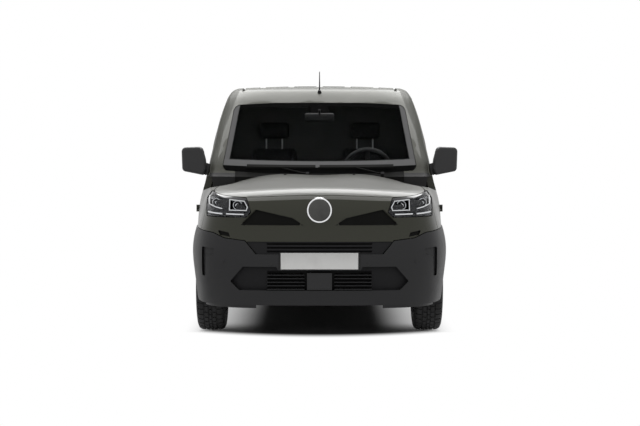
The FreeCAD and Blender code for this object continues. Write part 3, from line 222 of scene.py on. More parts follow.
def moulded_plastic(name, base, rough, grain, strength, level, shaded_mouths=()):
    """Moulded plastic with a fine grain, slight scuffs and a paler bloom; deep inside its mouths the colour
    is set near black as painted shade.

    A mouth is half its width, its foot and head, and how far back its painted shade starts.
    """
    f = Finish(name)
    pits = f.cells(grain, "DISTANCE_TO_EDGE")
    scuff = f.noise(13.0, 6.0, 0.62).step(0.45, 0.85)
    scratch = f.noise(40.0, 4.0, 0.6, (1.0, 1.0, 9.0)).step(0.62, 0.8)
    colour = f.mix(scuff * 0.3 + scratch * 0.1, base, lighter(base, 1.5, 0.006))
    x, y, z = f.axes()
    # painted shade: deep inside each mouth the colour is set near black, standing for the shade in the
    # openings
    for half, foot, head, start in shaded_mouths:
        inside = (x.absolute() < half) * (z > foot) * (z < head) * y.step(start, start + 0.004)
        colour = f.mix(inside, colour, (0.0008, 0.0008, 0.0009))
    f.feed(Base_Color=colour, Roughness=rough + scuff * 0.1, Specular_IOR_Level=level)
    f.bump(pits.clamp(0.0, 0.1) * 6.0, strength, 0.0006)
    return f.material


def worn(name, clean, dirty, share, patches, rough, bump=None, coat=None, **sockets):
    """A finish that goes from clean to dirty in patches.

    patches: noise scale, detail, roughness, where they start and are full, and the noise's stretch.
    rough and coat: the value on the clean places, and how much it changes in the patches.
    bump: noise scale, detail, strength and distance.
    """
    f = Finish(name)
    scale, detail, mixed, start, full = patches[:5]
    spots = f.noise(scale, detail, mixed, *patches[5:]).step(start, full)
    f.feed(Base_Color=f.mix(spots * share, clean, dirty), Roughness=rough[0] + spots * rough[1], **sockets)
    if coat:
        f.feed(Coat_Weight=coat[0] + spots * coat[1])
    if bump:
        f.bump(f.noise(bump[0], bump[1]), bump[2], bump[3])
    return f


def clear(name, tint, darker, share, patches, haze, **sockets):
    """Glass or clear plastic with a faint film in patches; low reflections keep what is behind readable."""
    sockets = {"Transmission_Weight": 1.0, "Specular_IOR_Level": 0.3, **sockets}
    return worn(name, tint, lighter(tint, darker), share, patches, (0.0, haze), **sockets)


def bright_metal(name, base):
    """Plated trim, nearly a mirror, with light haze and fine wiping marks."""
    patches, bump = (45.0, 5.0, 0.6, 0.4, 0.85), (300.0, 2.0, 0.02, 0.0003)
    return worn(name, base, lighter(base, 0.8), 0.2, patches, (0.07, 0.1), bump, Metallic=1.0).material


def rough_coat(name, base, rough=0.55, dirt=0.4):
    """Sprayed coating on steel, mottled, with road dirt gathered in patches."""
    f = Finish(name)
    mottled = f.noise(11.0, 6.0, 0.62)
    soil = f.noise(4.0, 5.0, 0.6).step(0.45, 0.75) * dirt
    colour = f.mix(mottled.step(0.4, 0.75), base, lighter(base, 0.6, 0.003))
    colour = f.mix(soil, colour, (0.05, 0.045, 0.038))
    f.feed(Base_Color=colour, Roughness=rough + mottled * 0.15, Specular_IOR_Level=0.3)
    f.bump(f.noise(260.0, 4.0), 0.15, 0.0007)
    return f.material


def bare_metal(name, base, rough):
    """Machined or cast metal with fine brushing and a few darker stains."""
    f = Finish(name)
    brushed = f.noise(90.0, 4.0, 0.6, (1.0, 1.0, 12.0))
    stain = f.noise(20.0, 5.0, 0.6).step(0.5, 0.8)
    colour = f.mix(stain * 0.5, base, lighter(base, 0.45))
    f.feed(Base_Color=colour, Metallic=0.9, Roughness=rough + brushed * 0.15 + stain * 0.15)
    f.bump(brushed, 0.08, 0.0004)
    return f.material


def windscreen_glass(name):
    """Tinted glass with a printed black border that breaks up into dots on its inner side; the border's
    colour carries painted light, pale grey at its sides and in a strip at its foot edge, near black
    elsewhere.
    """
    f = clear(name, (0.78, 0.8, 0.8), 0.8, 0.15, FILM, 0.03, IOR=1.02)
    x, y, z = f.axes()
    side = x.absolute()
    from_side = side - (0.74 - (z - 1.15) * 0.136 - 0.036)
    from_foot = (1.212 + side * side * 0.03) - z
    from_head = z - (1.642 - side * side * 0.035)
    inside = from_side.larger(from_foot).larger(from_head)
    band = inside.step(-0.0005, 0.0005)
    dots = (inside.step(-0.016, 0.0) - f.cells(210.0) * 1.4).step(0.0, 0.05)
    mirror_foot = (side < 0.07) * (z > 1.575)
    printed = band.larger(dots).larger(mirror_foot)
    # painted light: the black print is coloured pale grey along the sides and in a 40 mm strip at its foot
    # edge, as reflected light, and near black at the head and the lowest part
    frit_painted_light = f.mix(from_side.step(-0.01, 0.0), grey(0.003), (0.115, 0.115, 0.116))
    frit_painted_light = f.mix(from_foot.step(-0.01, 0.0), frit_painted_light, (0.13, 0.13, 0.131))
    frit_painted_light = f.mix(from_foot.step(0.04, 0.044), frit_painted_light, grey(0.0025))
    frit_dust_and_painted_light = f.mix(f.noise(30.0, 4.0) * 0.15, frit_painted_light, grey(0.03))
    ink = {"Base Color": frit_dust_and_painted_light, "Roughness": 0.5, "Specular IOR Level": 0.0}
    f.second_shader(printed, "ShaderNodeBsdfPrincipled", ink)
    return f.material


def light_guide(name, base):
    """Milky strip of a lamp, ribbed along its length."""
    f = Finish(name)
    x, y, z = f.axes()
    ribs = ((x + z * 0.6) * 1300.0).sine()
    f.feed(Base_Color=f.mix(ribs * 0.5 + 0.5, base, lighter(base, 0.75)), Roughness=0.15, Metallic=0.2)
    f.bump(ribs, 0.3, 0.0006)
    return f.material


def tail_lens(name):
    """Red lens with a clear band for the reversing lamp, moulded in fine ribs."""
    f = Finish(name)
    z = f.axes()[2]
    ribs = (z * 1100.0).sine()
    dull = f.noise(30.0, 4.0).step(0.4, 0.8)
    band = (z - 0.905).absolute().step(0.038, 0.04)
    red = f.mix(dull * 0.4, (0.3, 0.004, 0.006), (0.2, 0.003, 0.004))
    f.feed(Base_Color=f.mix(band, (0.5, 0.48, 0.46), red), Roughness=0.14 + dull * 0.1)
    f.feed(Coat_Weight=0.3, Coat_Roughness=0.03, Specular_IOR_Level=0.25)
    f.bump(ribs, 0.12, 0.0008)
    return f.material


def woven_cloth(name, base, light, threads=2300.0):
    """Woven seat cloth: crossing threads, slight pilling and worn, paler places."""
    f = Finish(name)
    x, y, z = f.axes()
    warp = ((x + y * 0.35) * threads).sine()
    weft = ((z + y * 0.8) * threads).sine()
    weave = warp * weft
    wear = f.noise(6.0, 5.0, 0.6).step(0.45, 0.8) * 0.35
    pattern = ((x * 150.0).sine() * ((y + z) * 150.0).sine()).step(0.2, 0.5) * 0.3
    colour = f.mix((weave * 0.35 + 0.4 + wear * 0.4 + pattern).clamp(), base, light)
    f.feed(Base_Color=colour, Roughness=0.88 + wear * 0.1, Specular_IOR_Level=0.15)
    f.bump(weave + f.noise(900.0, 3.0), 0.35, 0.0009)
    return f.material


def blank_plate(name):
    """Reflective plate film with a fine honeycomb and grime in patches."""
    f = Finish(name)
    comb = f.cells(340.0, "DISTANCE_TO_EDGE")
    grime = f.noise(14.0, 5.0, 0.6).step(0.4, 0.85)
    colour = f.mix(grime * 0.25, (0.66, 0.66, 0.65), (0.45, 0.44, 0.42))
    f.feed(Base_Color=colour, Roughness=0.35 + grime * 0.2, Specular_IOR_Level=0.4)
    f.bump(comb.clamp(0.0, 0.12), 0.2, 0.0006)
    return f.material


def webbing(name, base):
    """Belt webbing with its ribs along the belt."""
    f = Finish(name)
    x, y, z = f.axes()
    ribs = (x * 1900.0).sine()
    fuzz = f.noise(700.0, 4.0, 0.7)
    f.feed(Base_Color=f.mix(ribs * 0.3 + fuzz * 0.4, base, lighter(base, 2.4)), Roughness=0.8)
    f.bump(ribs + fuzz, 0.3, 0.0008)
    return f.material


BODY_COLOUR, FLAKE_COLOUR = (0.027, 0.0275, 0.0185), (0.1, 0.1, 0.075)
PAINT = metallic_paint("dark_metallic_paint", BODY_COLOUR, FLAKE_COLOUR)
SIDE_PAINT = metallic_paint("dark_metallic_side_paint", BODY_COLOUR, FLAKE_COLOUR, True)
BUMPER = moulded_plastic("grained_bumper_plastic", (0.0135, 0.0135, 0.0145), 0.5, 900.0, 0.2, 0.3)
# the grille's openings, where the colour is painted near black as shade deep inside
SHADED_MOUTHS = ((0.352, 0.366, 0.5, -2.172), (0.357, 0.622, 0.69, -2.172))
GRILLE_PLASTIC = moulded_plastic("grille_plastic", (0.017, 0.017, 0.018), 0.5, 900.0, 0.2, 0.08, SHADED_MOUTHS)
INSET_PLASTIC = moulded_plastic("inset_plastic", (0.006, 0.006, 0.0055), 0.6, 1500.0, 0.1, 0.06)
MIRROR_SHELL = moulded_plastic("mirror_shell_plastic", (0.022, 0.022, 0.023), 0.42, 1100.0, 0.15, 0.35)
BLACK = worn(
    "gloss_black_trim", (0.006, 0.006, 0.007), (0.0108, 0.0108, 0.0126), 0.4,
    (60.0, 5.0, 0.7, 0.5, 0.8, (1.0, 6.0, 1.0)), (0.1, 0.1), (180.0, 2.0, 0.03, 0.0004),
    Specular_IOR_Level=0.35,
).material
RUBBER_SEAL = moulded_plastic("seal_rubber", (0.007, 0.007, 0.0075), 0.6, 1500.0, 0.1, 0.2)
CAB_TRIM = moulded_plastic("cab_trim_plastic", (0.012, 0.012, 0.0125), 0.6, 700.0, 0.3, 0.25)
UNDERBODY = rough_coat("underbody_coat", grey(0.018))
BULKHEAD_GREY = rough_coat("bulkhead_grey_paint", (0.02, 0.02, 0.021), 0.5, 0.15)
FASCIA = moulded_plastic("fascia_plastic", (0.085, 0.085, 0.087), 0.6, 700.0, 0.3, 0.25)
RIM_GRIP = moulded_plastic("steering_rim_plastic", (0.03, 0.03, 0.031), 0.45, 1300.0, 0.2, 0.35)
WHEEL_PAINT = worn(
    "wheel_silver_lacquer", (0.3, 0.3, 0.305), (0.09, 0.085, 0.08), 0.45, (18.0, 5.0, 0.6, 0.4, 0.8),
    (0.36, 0.25), (420.0, 3.0, 0.05, 0.0004), (0.3, -0.2), Metallic=0.5,
).material
CASTING = bare_metal("bare_casting", (0.3, 0.3, 0.31), 0.42)
BRIGHT = bright_metal("bright_plated_trim", (0.78, 0.78, 0.79))
MIRROR_FACE = bright_metal("mirror_face", (0.55, 0.56, 0.58))
REFLECTOR = bright_metal("lamp_reflector", (0.62, 0.63, 0.64))
GLASS = clear("door_glass_tinted", (0.24, 0.27, 0.26), 0.8, 0.15, FILM, 0.03, IOR=1.03).material
SCREEN_GLASS = windscreen_glass("windscreen_with_border")
FLOW_MARKS = (24.0, 3.0, 0.5, 0.5, 0.9)
COVER = clear("lamp_cover_clear", (0.95, 0.96, 0.97), 0.9, 0.1, FLOW_MARKS, 0.02, IOR=1.04).material
GUIDE = light_guide("lamp_light_guide", (0.8, 0.81, 0.82))
TAIL_LENS = tail_lens("tail_lamp_lens")
TYRE = worn(
    "tyre_rubber", (0.01, 0.01, 0.011), (0.03, 0.029, 0.027), 0.6, (26.0, 5.0, 0.6, 0.35, 0.8),
    (0.6, 0.25), (420.0, 3.0, 0.12, 0.0006), Specular_IOR_Level=0.3,
).material
CLOTH = woven_cloth("seat_cloth", (0.008, 0.008, 0.009), (0.028, 0.028, 0.031))
SIDE_CLOTH = woven_cloth("seat_side_cloth", (0.006, 0.006, 0.0065), (0.014, 0.014, 0.0155), 1700.0)
PLATE_FILM = blank_plate("blank_plate_film")
WEBBING = webbing("belt_webbing", (0.012, 0.012, 0.013))
DISC_FACE = rough_coat("disc_face_satin", (0.06, 0.06, 0.056), 0.35, 0.05)

SLOT_FINISH = {
    "body_paint": PAINT, "floor_paint": UNDERBODY, "bumper_plastic": BUMPER, "black_plastic": BLACK,
    "lamp_lens": BLACK, "tail_lens": TAIL_LENS, "clear_glass": GLASS, "trim_panel": BULKHEAD_GREY,
    "cab_plastic": CAB_TRIM, "seat_cloth": SIDE_CLOTH, "cast_metal": CASTING, "chassis_steel": UNDERBODY,
    "tank_plastic": CAB_TRIM, "tyre_rubber": TYRE, "wheel_paint": WHEEL_PAINT,
}
NODE_FINISH = {
    "windscreen": SCREEN_GLASS, "mirror_left": MIRROR_SHELL, "mirror_right": MIRROR_SHELL,
    "cowl": INSET_PLASTIC, "wipers": INSET_PLASTIC, "grille": GRILLE_PLASTIC, "antenna": RUBBER_SEAL,
    "dashboard": FASCIA, "steering_wheel": RIM_GRIP,
    "side_panel_left": SIDE_PAINT, "side_panel_right": SIDE_PAINT,
}
for part in frame["record"]["subparts"]:
    node = cad[part["node"]]
    node.data.materials.clear()
    node.data.materials.append(NODE_FINISH.get(part["node"], SLOT_FINISH[part["material_slot"]]))


# Modelling
def begin():
    """Back to object mode with nothing selected."""
    if bpy.context.object and bpy.context.object.mode != "OBJECT":
        bpy.ops.object.mode_set(mode="OBJECT")
    bpy.ops.object.select_all(action="DESELECT")


def only(piece):
    begin()
    piece.select_set(True)
    bpy.context.view_layer.objects.active = piece


def apply_place():
    bpy.ops.object.transform_apply(location=True, rotation=True, scale=True)


def block(low, high):
    """A block between two corners, ready to be shaped."""
    begin()
    middle = [(a + b) / 2 for a, b in zip(low, high)]
    bpy.ops.mesh.primitive_cube_add(size=1.0, location=middle)
    bpy.context.object.scale = [b - a for a, b in zip(low, high)]
    apply_place()
    return bpy.context.object


def sheet(middle, size, steps, turn):
    """A flat grid, size and steps across and along, turned to face where it should."""
    begin()
    bpy.ops.mesh.primitive_grid_add(
        x_subdivisions=steps[0], y_subdivisions=steps[1], size=1.0, location=middle, rotation=turn,
    )
    bpy.context.object.scale = (size[0], size[1], 1.0)
    apply_place()
    return bpy.context.object


def choose(piece, test, kind="FACE"):
    """In edit mode, select what passes the test: faces and points by place and normal, edges by direction."""
    only(piece)
    bpy.ops.object.mode_set(mode="EDIT")
    bpy.ops.mesh.select_mode(type=kind)
    bpy.ops.mesh.select_all(action="DESELECT")
    mesh = bmesh.from_edit_mesh(piece.data)
    for face in mesh.faces if kind == "FACE" else ():
        face.select_set(bool(test(face.calc_center_median(), face.normal)))
    for edge in mesh.edges if kind == "EDGE" else ():
        start, end = (point.co for point in edge.verts)
        edge.select_set(bool(test((start + end) / 2, (end - start).normalized())))
    for point in mesh.verts if kind == "VERT" else ():
        point.select_set(bool(test(point.co, point.normal)))
    bmesh.update_edit_mesh(piece.data)


def everything(piece):
    """In edit mode, select the whole piece."""
    only(piece)
    bpy.ops.object.mode_set(mode="EDIT")
    bpy.ops.mesh.select_mode(type="VERT")
    bpy.ops.mesh.select_all(action="SELECT")


def moved(piece, way):
    everything(piece)
    bpy.ops.transform.translate(value=way)
    begin()


def facing_out(piece):
    everything(piece)
    bpy.ops.mesh.normals_make_consistent(inside=False)
    begin()


def mirrored(piece):
    """Turn a piece into its mirror image on the van's other side."""
    everything(piece)
    across = (True, False, False)
    bpy.ops.transform.mirror(orient_type="GLOBAL", constraint_axis=across, center_override=(0, 0, 0))
    bpy.ops.mesh.normals_make_consistent(inside=False)
    begin()


def deleted(*pieces):
    for piece in pieces:
        only(piece)
        bpy.ops.object.delete()


def delete_points(piece, test):
    choose(piece, test, "VERT")
    bpy.ops.mesh.delete(type="VERT")
    begin()


def toward(axis, sign=1):
    """A test for choose: the faces that look along an axis, 0 to 2, or against it."""
    return lambda middle, normal: normal[axis] * sign > 0.9


def tapered(piece, test, scale, about):
    """Scale the chosen faces about a point."""
    choose(piece, test)
    bpy.ops.transform.resize(value=scale, center_override=about)
    begin()


def pressed(piece, test, margin, shift, single=False):
    """Inset the chosen faces, then move the field within: by a vector, or by a number along its normals."""
    choose(piece, test)
    bpy.ops.mesh.inset(thickness=margin, use_individual=single)
    if isinstance(shift, tuple):
        bpy.ops.mesh.extrude_region_move(TRANSFORM_OT_translate={"value": shift})
    else:
        bpy.ops.mesh.extrude_region_shrink_fatten(TRANSFORM_OT_shrink_fatten={"value": shift})
    begin()


def round_corners(piece, axis, width, steps):
    """Round the edges that run along an axis, 0 to 2."""
    choose(piece, lambda middle, direction: abs(direction[axis]) > 0.9, "EDGE")
    bpy.ops.mesh.bevel(offset=width, segments=steps)
    begin()


def bowed(piece, ends, shift, scale=(1.0, 1.0, 1.0), about=(0.0, 0.0, 0.0)):
    """Make a grip of a block: its ends, the points that pass the test, go back to the surface."""
    everything(piece)
    bpy.ops.mesh.subdivide(number_cuts=3)
    choose(piece, ends, "VERT")
    bpy.ops.transform.translate(value=shift)
    bpy.ops.transform.resize(value=scale, center_override=about)
    begin()
    rounded(piece, 0.005)
    modify(piece, "SUBSURF", levels=1, render_levels=1)


def path(places):
    """Edges through places one after another; the last point stays selected in edit mode."""
    begin()
    bpy.ops.mesh.primitive_plane_add(size=0.001, location=(0, 0, 0))
    piece = bpy.context.object
    everything(piece)
    bpy.ops.mesh.merge(type="CENTER")
    bpy.ops.transform.translate(value=places[0])
    for before, after in zip(places, places[1:]):
        bpy.ops.mesh.extrude_region_move(TRANSFORM_OT_translate={"value": after - before})
    return piece


def modify(piece, kind, **settings):
    only(piece)
    modifier = piece.modifiers.new(kind.lower(), kind)
    for key, value in settings.items():
        setattr(modifier, key, value)
    bpy.ops.object.modifier_apply(modifier=modifier.name)


def rounded(piece, width, steps=3, angle=30.0):
    """Bevel the edges sharper than an angle, in degrees."""
    modify(piece, "BEVEL", width=width, segments=steps, limit_method="ANGLE", angle_limit=math.radians(angle))


def trimmed(piece, corners, across):
    """Cut a sheet to a convex outline; corners are listed anticlockwise as seen against the way across."""
    away = Vector(across)
    for start, end in zip(corners, corners[1:] + corners[:1]):
        everything(piece)
        edge = Vector(end) - Vector(start)
        bpy.ops.mesh.bisect(
            plane_co=start, plane_no=edge.cross(away).normalized(), clear_outer=True, clear_inner=False,
        )
    begin()


def laid_on(piece, target, way):
    """Push each point of a sheet along an axis, such as "-x", until it meets the target's surface."""
    settings = {"use_project_" + way[1]: True, "use_negative_direction": way[0] == "-"}
    settings["use_positive_direction"] = way[0] == "+"
    modify(piece, "SHRINKWRAP", target=target, wrap_method="PROJECT", **settings)


def turned(points, centre, axis, steps):
    """A round piece: points of (along, radius), spun about an axis through the centre."""
    way = Vector(axis).normalized()
    out = way.orthogonal().normalized()
    piece = path([Vector(centre) + way * along + out * radius for along, radius in points])
    everything(piece)
    bpy.ops.mesh.spin(steps=steps, angle=2 * math.pi, center=centre, axis=way)
    everything(piece)
    bpy.ops.mesh.remove_doubles(threshold=WELD)
    bpy.ops.mesh.normals_make_consistent(inside=False)
    begin()
    return piece


def bar(start, end, radius, steps=20):
    """A round bar with eased ends."""
    length = (Vector(end) - Vector(start)).length
    ease = radius * 0.3
    points = [(0, 0), (0, radius - ease), (ease, radius)]
    points += [(length - along, out) for along, out in reversed(points)]
    return turned(points, start, Vector(end) - Vector(start), steps)


def joined(*pieces):
    only(pieces[0])
    for piece in pieces:
        piece.select_set(True)
    bpy.ops.object.join()
    return bpy.context.object


def copied(piece, move=(0.0, 0.0, 0.0), mirror=False):
    """The same piece again with its own mesh, mirrored to the van's other side if asked, then moved."""
    only(piece)
    bpy.ops.object.duplicate()
    other = bpy.context.object
    if mirror:
        mirrored(other)
    moved(other, move)
    return other


def ready(piece, name, finish, body="body", angle=35.0):
    """Name, smooth and colour a finished piece and set it on the body it moves with."""
    only(piece)
    piece.name = name
    piece.data.name = name
    piece.data.materials.clear()
    piece.data.materials.append(finish)
    bpy.ops.object.shade_smooth_by_angle(angle=math.radians(angle))
    begin()
    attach(piece, body)


def both_sides(piece, name, finish, bodies=("body", "body"), angle=35.0):
    """The finished left piece and its mirror image on the right."""
    other = copied(piece, mirror=True)
    ready(piece, name + "_left", finish, bodies[0], angle)
    ready(other, name + "_right", finish, bodies[1], angle)


def framed(name, low, high, facing, margin, shift, edge, finish, body="body"):
    """A block whose front or back face is pressed in within a margin, with rounded edges."""
    piece = block(low, high)
    pressed(piece, toward(1, facing), margin, shift)
    rounded(piece, *edge)
    ready(piece, name, finish, body)


# Front of the van
def lamp_cover():
    """The clear cover: the lamp body's own outline, closed over its pockets and given a thin wall."""
    cover = closed_over(cad["headlamp_left"])

    def hidden(middle, normal):
        return normal.y > -0.22 and normal.x < 0.93 or normal.z < -0.6 or normal.z > 0.8

    choose(cover, hidden)
    bpy.ops.mesh.delete(type="FACE")
    begin()
    modify(cover, "SUBSURF", levels=1, render_levels=1, subdivision_type="SIMPLE")
    modify(cover, "SOLIDIFY", thickness=0.0028, offset=-1.0)
    moved(cover, (0.0012, -0.0042, 0.0))
    both_sides(cover, "headlamp_cover", COVER, angle=50.0)


def lamp_units():
    """Reflector bowls and light guides in the pockets of the lamp body, placed in the front view."""
    body = cad["headlamp_left"]
    bowls = []
    for x, z, radius in ((0.706, 0.952, 0.028), (0.556, 0.937, 0.031)):
        y = face_y(body, x, z) - 0.001
        points = [(0.004, radius), (-0.006, radius), (-0.006, radius * 0.9), (0.002, radius * 0.62)]
        points += [(0.006, radius * 0.3), (0.0065, 0.0)]
        bowls.append(turned(points, (x, y, z), (0.05, 1, 0.0), 40))
    both_sides(joined(*bowls), "headlamp_reflectors", REFLECTOR)
    paths = {
        0.0034: [(0.7615, 0.992), (0.7555, 0.94), (0.705, 0.922), (0.657, 0.912)],
        0.0026: [
            (0.608, 0.974), (0.508, 0.9645), (0.486, 0.926), (0.493, 0.903), (0.609, 0.9045), (0.608, 0.974),
        ],
        0.0044: [(0.76, 0.887), (0.706, 0.8815), (0.654, 0.8785)],
        0.004: [(0.627, 0.879), (0.566, 0.8775), (0.506, 0.877)],
    }
    guides = []
    for half, corners in paths.items():
        for start, end in zip(corners, corners[1:]):
            count = max(2, int(math.dist(start, end) / 0.02))
            first, last = (Vector((x, 0.0, z)) for x, z in (start, end))
            guides.append(ribbon([first.lerp(last, k / count) for k in range(count + 1)], half))
    strip = joined(*guides)
    moved(strip, (0.0, -2.35, 0.0))
    hull = closed_over(body)
    laid_on(strip, hull, "+y")
    deleted(hull)
    delete_points(strip, lambda place, normal: place.y < -2.3)
    modify(strip, "SOLIDIFY", thickness=0.005, offset=0.4)
    both_sides(strip, "headlamp_guides", GUIDE)


def closed_over(node):
    """The convex outline of a node, as a piece of its own."""
    only(node)
    bpy.ops.object.duplicate()
    hull = bpy.context.object
    hull.parent = None
    for key in list(hull.keys()):
        del hull[key]
    everything(hull)
    bpy.ops.mesh.remove_doubles(threshold=WELD)
    bpy.ops.mesh.select_all(action="SELECT")
    bpy.ops.mesh.convex_hull()
    begin()
    return hull


def ribbon(spots, half):
    """A thin upright ribbon through spots in the front view."""
    along = (spots[-1] - spots[0]).normalized()
    side = Vector((-along.z, 0.0, along.x)) * half
    piece = path([spot - side - along * half for spot in spots])
    bpy.ops.mesh.select_all(action="SELECT")
    bpy.ops.mesh.extrude_region_move(TRANSFORM_OT_translate={"value": side * 2})
    begin()
    return piece


def met(node, start, way):
    """Where a ray from start first meets the node."""
    hit, place, normal, index = node.ray_cast(Vector(start), Vector(way))
    return place if hit else Vector()


def face_y(node, x, z):
    """How far back the node's surface is, straight behind a place in the front view."""
    return met(node, (x, -3.0, z), (0, 1, 0)).y


def face_back(node, x, z):
    """How far back the node reaches, seen from behind at a place in the rear view."""
    return met(node, (x, 4.0, z), (0, -1, 0)).y


def face_x(node, y, z, side):
    """How far out the node's surface is, at a place in the side view."""
    return met(node, (side * 3.0, y, z), (-side, 0, 0)).x


def top_z(node, x, y):
    """How high the node's surface is, at a place in the view from above."""
    return met(node, (x, y, 4.0), (0, 0, -1)).z


def disc_rim():
    """The bright rim round the blank disc, following its curve, and the disc's satin face."""
    disc = cad["nose_disc"]
    low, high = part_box("nose_disc")
    centre = ((low.x + high.x) / 2, -2.5, (low.z + high.z) / 2)
    radius = (high.x - low.x) / 2
    begin()
    bpy.ops.mesh.primitive_circle_add(
        vertices=96, radius=radius - 0.0006, location=centre, rotation=FACING_FRONT,
    )
    rim = bpy.context.object
    apply_place()
    everything(rim)
    bpy.ops.mesh.extrude_region_move(TRANSFORM_OT_translate={"value": (0, 0, 0)})
    scale = (radius - 0.0095) / radius
    bpy.ops.transform.resize(value=(scale, 1.0, scale), center_override=centre)
    bpy.ops.mesh.select_all(action="SELECT")
    bpy.ops.mesh.subdivide(number_cuts=1)
    begin()
    laid_on(rim, disc, "+y")
    facing_out(rim)
    modify(rim, "SOLIDIFY", thickness=0.0052, offset=0.0)
    rounded(rim, 0.0012, 2, 40.0)
    ready(rim, "nose_disc_rim", BRIGHT, angle=40.0)
    disc.data.materials.clear()
    disc.data.materials.append(DISC_FACE)


def nose_insets():
    """Near-black sheets laid in the body-coloured recesses beside the disc as a painted dark reflection, and
    dark insets in the slits at the bumper's upper corners.
    """
    panel = cad["front_panel"]
    recess = [(0.425, 0.908), (0.182, 0.854), (0.108, 0.807), (0.53, 0.807)]
    slit = [(0.606, 0.726), (0.671, 0.7375), (0.687, 0.7655), (0.616, 0.753)]
    # painted reflection: the near-black sheet in each recess beside the disc stands for the recess's dark
    # reflection; the slit insets are dark parts of their own
    for name, corners, middle, size in (
        ("nose_inset", recess, (0.32, -2.6, 0.86), (0.44, 0.11)),
        ("slit_inset", slit, (0.647, -2.6, 0.746), (0.11, 0.06)),
    ):
        inset = sheet(middle, size, (22, 8), FACING_FRONT)
        trimmed(inset, [(x, -2.6, z) for x, z in corners], (0.0, -1.0, 0.0))
        laid_on(inset, panel, "+y")
        facing_out(inset)
        modify(inset, "SOLIDIFY", thickness=0.0022, offset=0.0)
        both_sides(inset, name, INSET_PLASTIC)


def plate(name, low, high, body, facing):
    """A blank plate: its film inside a raised edge, on a plain black holder that shows all round."""
    framed(name, low, high, facing, 0.005, -0.0008, (0.0008, 2), PLATE_FILM, body)
    grow = 0.007
    start, end = (low[1] - 0.006, high[1] - 0.002) if facing > 0 else (low[1] + 0.002, high[1] + 0.006)
    low, high = (low[0] - grow, start, low[2] - grow), (high[0] + grow, end, high[2] + grow)
    framed(name + "_holder", low, high, facing, grow * 0.8, -0.0006, (0.002, 3), BLACK, body)


def front_details():
    """The front plate, the radar cover and slats of the lower mouth, and the caps in the bumper."""
    bumper = cad["front_bumper"]
    y = face_y(bumper, 0.0, 0.566)
    plate("front_plate", (-0.26, y - 0.0055, 0.511), (0.26, y - 0.0012, 0.621), "body", -1)
    low, high = (-0.084, -2.187, 0.372), (0.084, -2.15, 0.486)
    framed("radar_cover", low, high, -1, 0.008, (0.0, 0.0025, 0.0), (0.004, 3), BLACK)
    slats = []
    front, inner, outer = -2.1815, 0.1, 0.352
    for k in range(5):
        z = 0.3765 + 0.024 * k
        slat = block((inner, front, z - 0.0055), (outer, -2.15, z + 0.0035))
        tapered(slat, toward(1, -1), (1.0, 1.0, 0.55), ((inner + outer) / 2, front, z - 0.001))
        rounded(slat, 0.0015, 2)
        slats.append(slat)
    both_sides(joined(*slats), "lower_slats", BUMPER)
    caps = []
    for x, z in ((0.33, 0.545), (0.655, 0.56)):
        y = face_y(bumper, x, z)
        slope = face_y(bumper, x + 0.01, z) - y
        points = [(0.004, 0.0125), (-0.0012, 0.0125), (-0.0026, 0.0112), (-0.0026, 0.0)]
        caps.append(turned(points, (x, y, z), (-slope, 0.01, 0.0), 32))
    both_sides(joined(*caps), "bumper_caps", BUMPER)


def bonnet_details():
    """A washer nozzle on each side of the bonnet, near its rear edge."""
    x, y = 0.255, -1.055
    z = top_z(cad["bonnet"], x, y)
    nozzle = block((x - 0.013, y - 0.011, z - 0.004), (x + 0.013, y + 0.011, z + 0.006))
    tapered(nozzle, toward(2), (0.7, 0.6, 1.0), (x, y, z))
    rounded(nozzle, 0.0025)
    both_sides(nozzle, "washer_nozzle", RUBBER_SEAL, ("bonnet", "bonnet"))


def cowl_details():
    """A cap on each wiper's pivot and the louvres of the air intake in the scuttle."""
    cowl = cad["cowl"]
    points = [(-0.004, 0.0155), (0.006, 0.0155), (0.0105, 0.0125), (0.012, 0.006), (0.012, 0.0)]
    pivots = ((0.47, -0.9455, 1.128), (-0.09, -0.9635, 1.128))
    caps = [turned(points, pivot, (0, 0, 1), 32) for pivot in pivots]
    ready(joined(*caps), "wiper_pivot_caps", BLACK)
    louvres = []
    y = -0.945
    for k in range(9):
        x = -0.46 + 0.028 * k
        z = top_z(cowl, x, y)
        louvre = block((x - 0.004, y - 0.028, z - 0.002), (x + 0.004, y + 0.028, z + 0.004))
        tapered(louvre, toward(2), (0.4, 0.92, 1.0), (x, y, z))
        rounded(louvre, 0.001, 2)
        louvres.append(louvre)
    ready(joined(*louvres), "scuttle_louvres", RUBBER_SEAL)


def wiper_blades():
    """A blade on each wiper, standing along the foot of the windscreen and following its curve."""
    screen = cad["windscreen"]
    blades = []
    for inner, outer in ((0.0, 0.56), (-0.55, -0.03)):
        blade = block((inner, -1.6, 1.172), (outer, -1.592, 1.19))
        everything(blade)
        bpy.ops.mesh.subdivide(number_cuts=11)
        begin()
        for point in blade.data.vertices:
            place = point.co
            place.z += 0.012 * place.x * place.x
            place.y = face_y(screen, place.x, place.z) - 0.026 + (place.y + 1.596)
        rounded(blade, 0.002, 2, 50.0)
        blades.append(blade)
    ready(joined(*blades), "wiper_blades", INSET_PLASTIC)


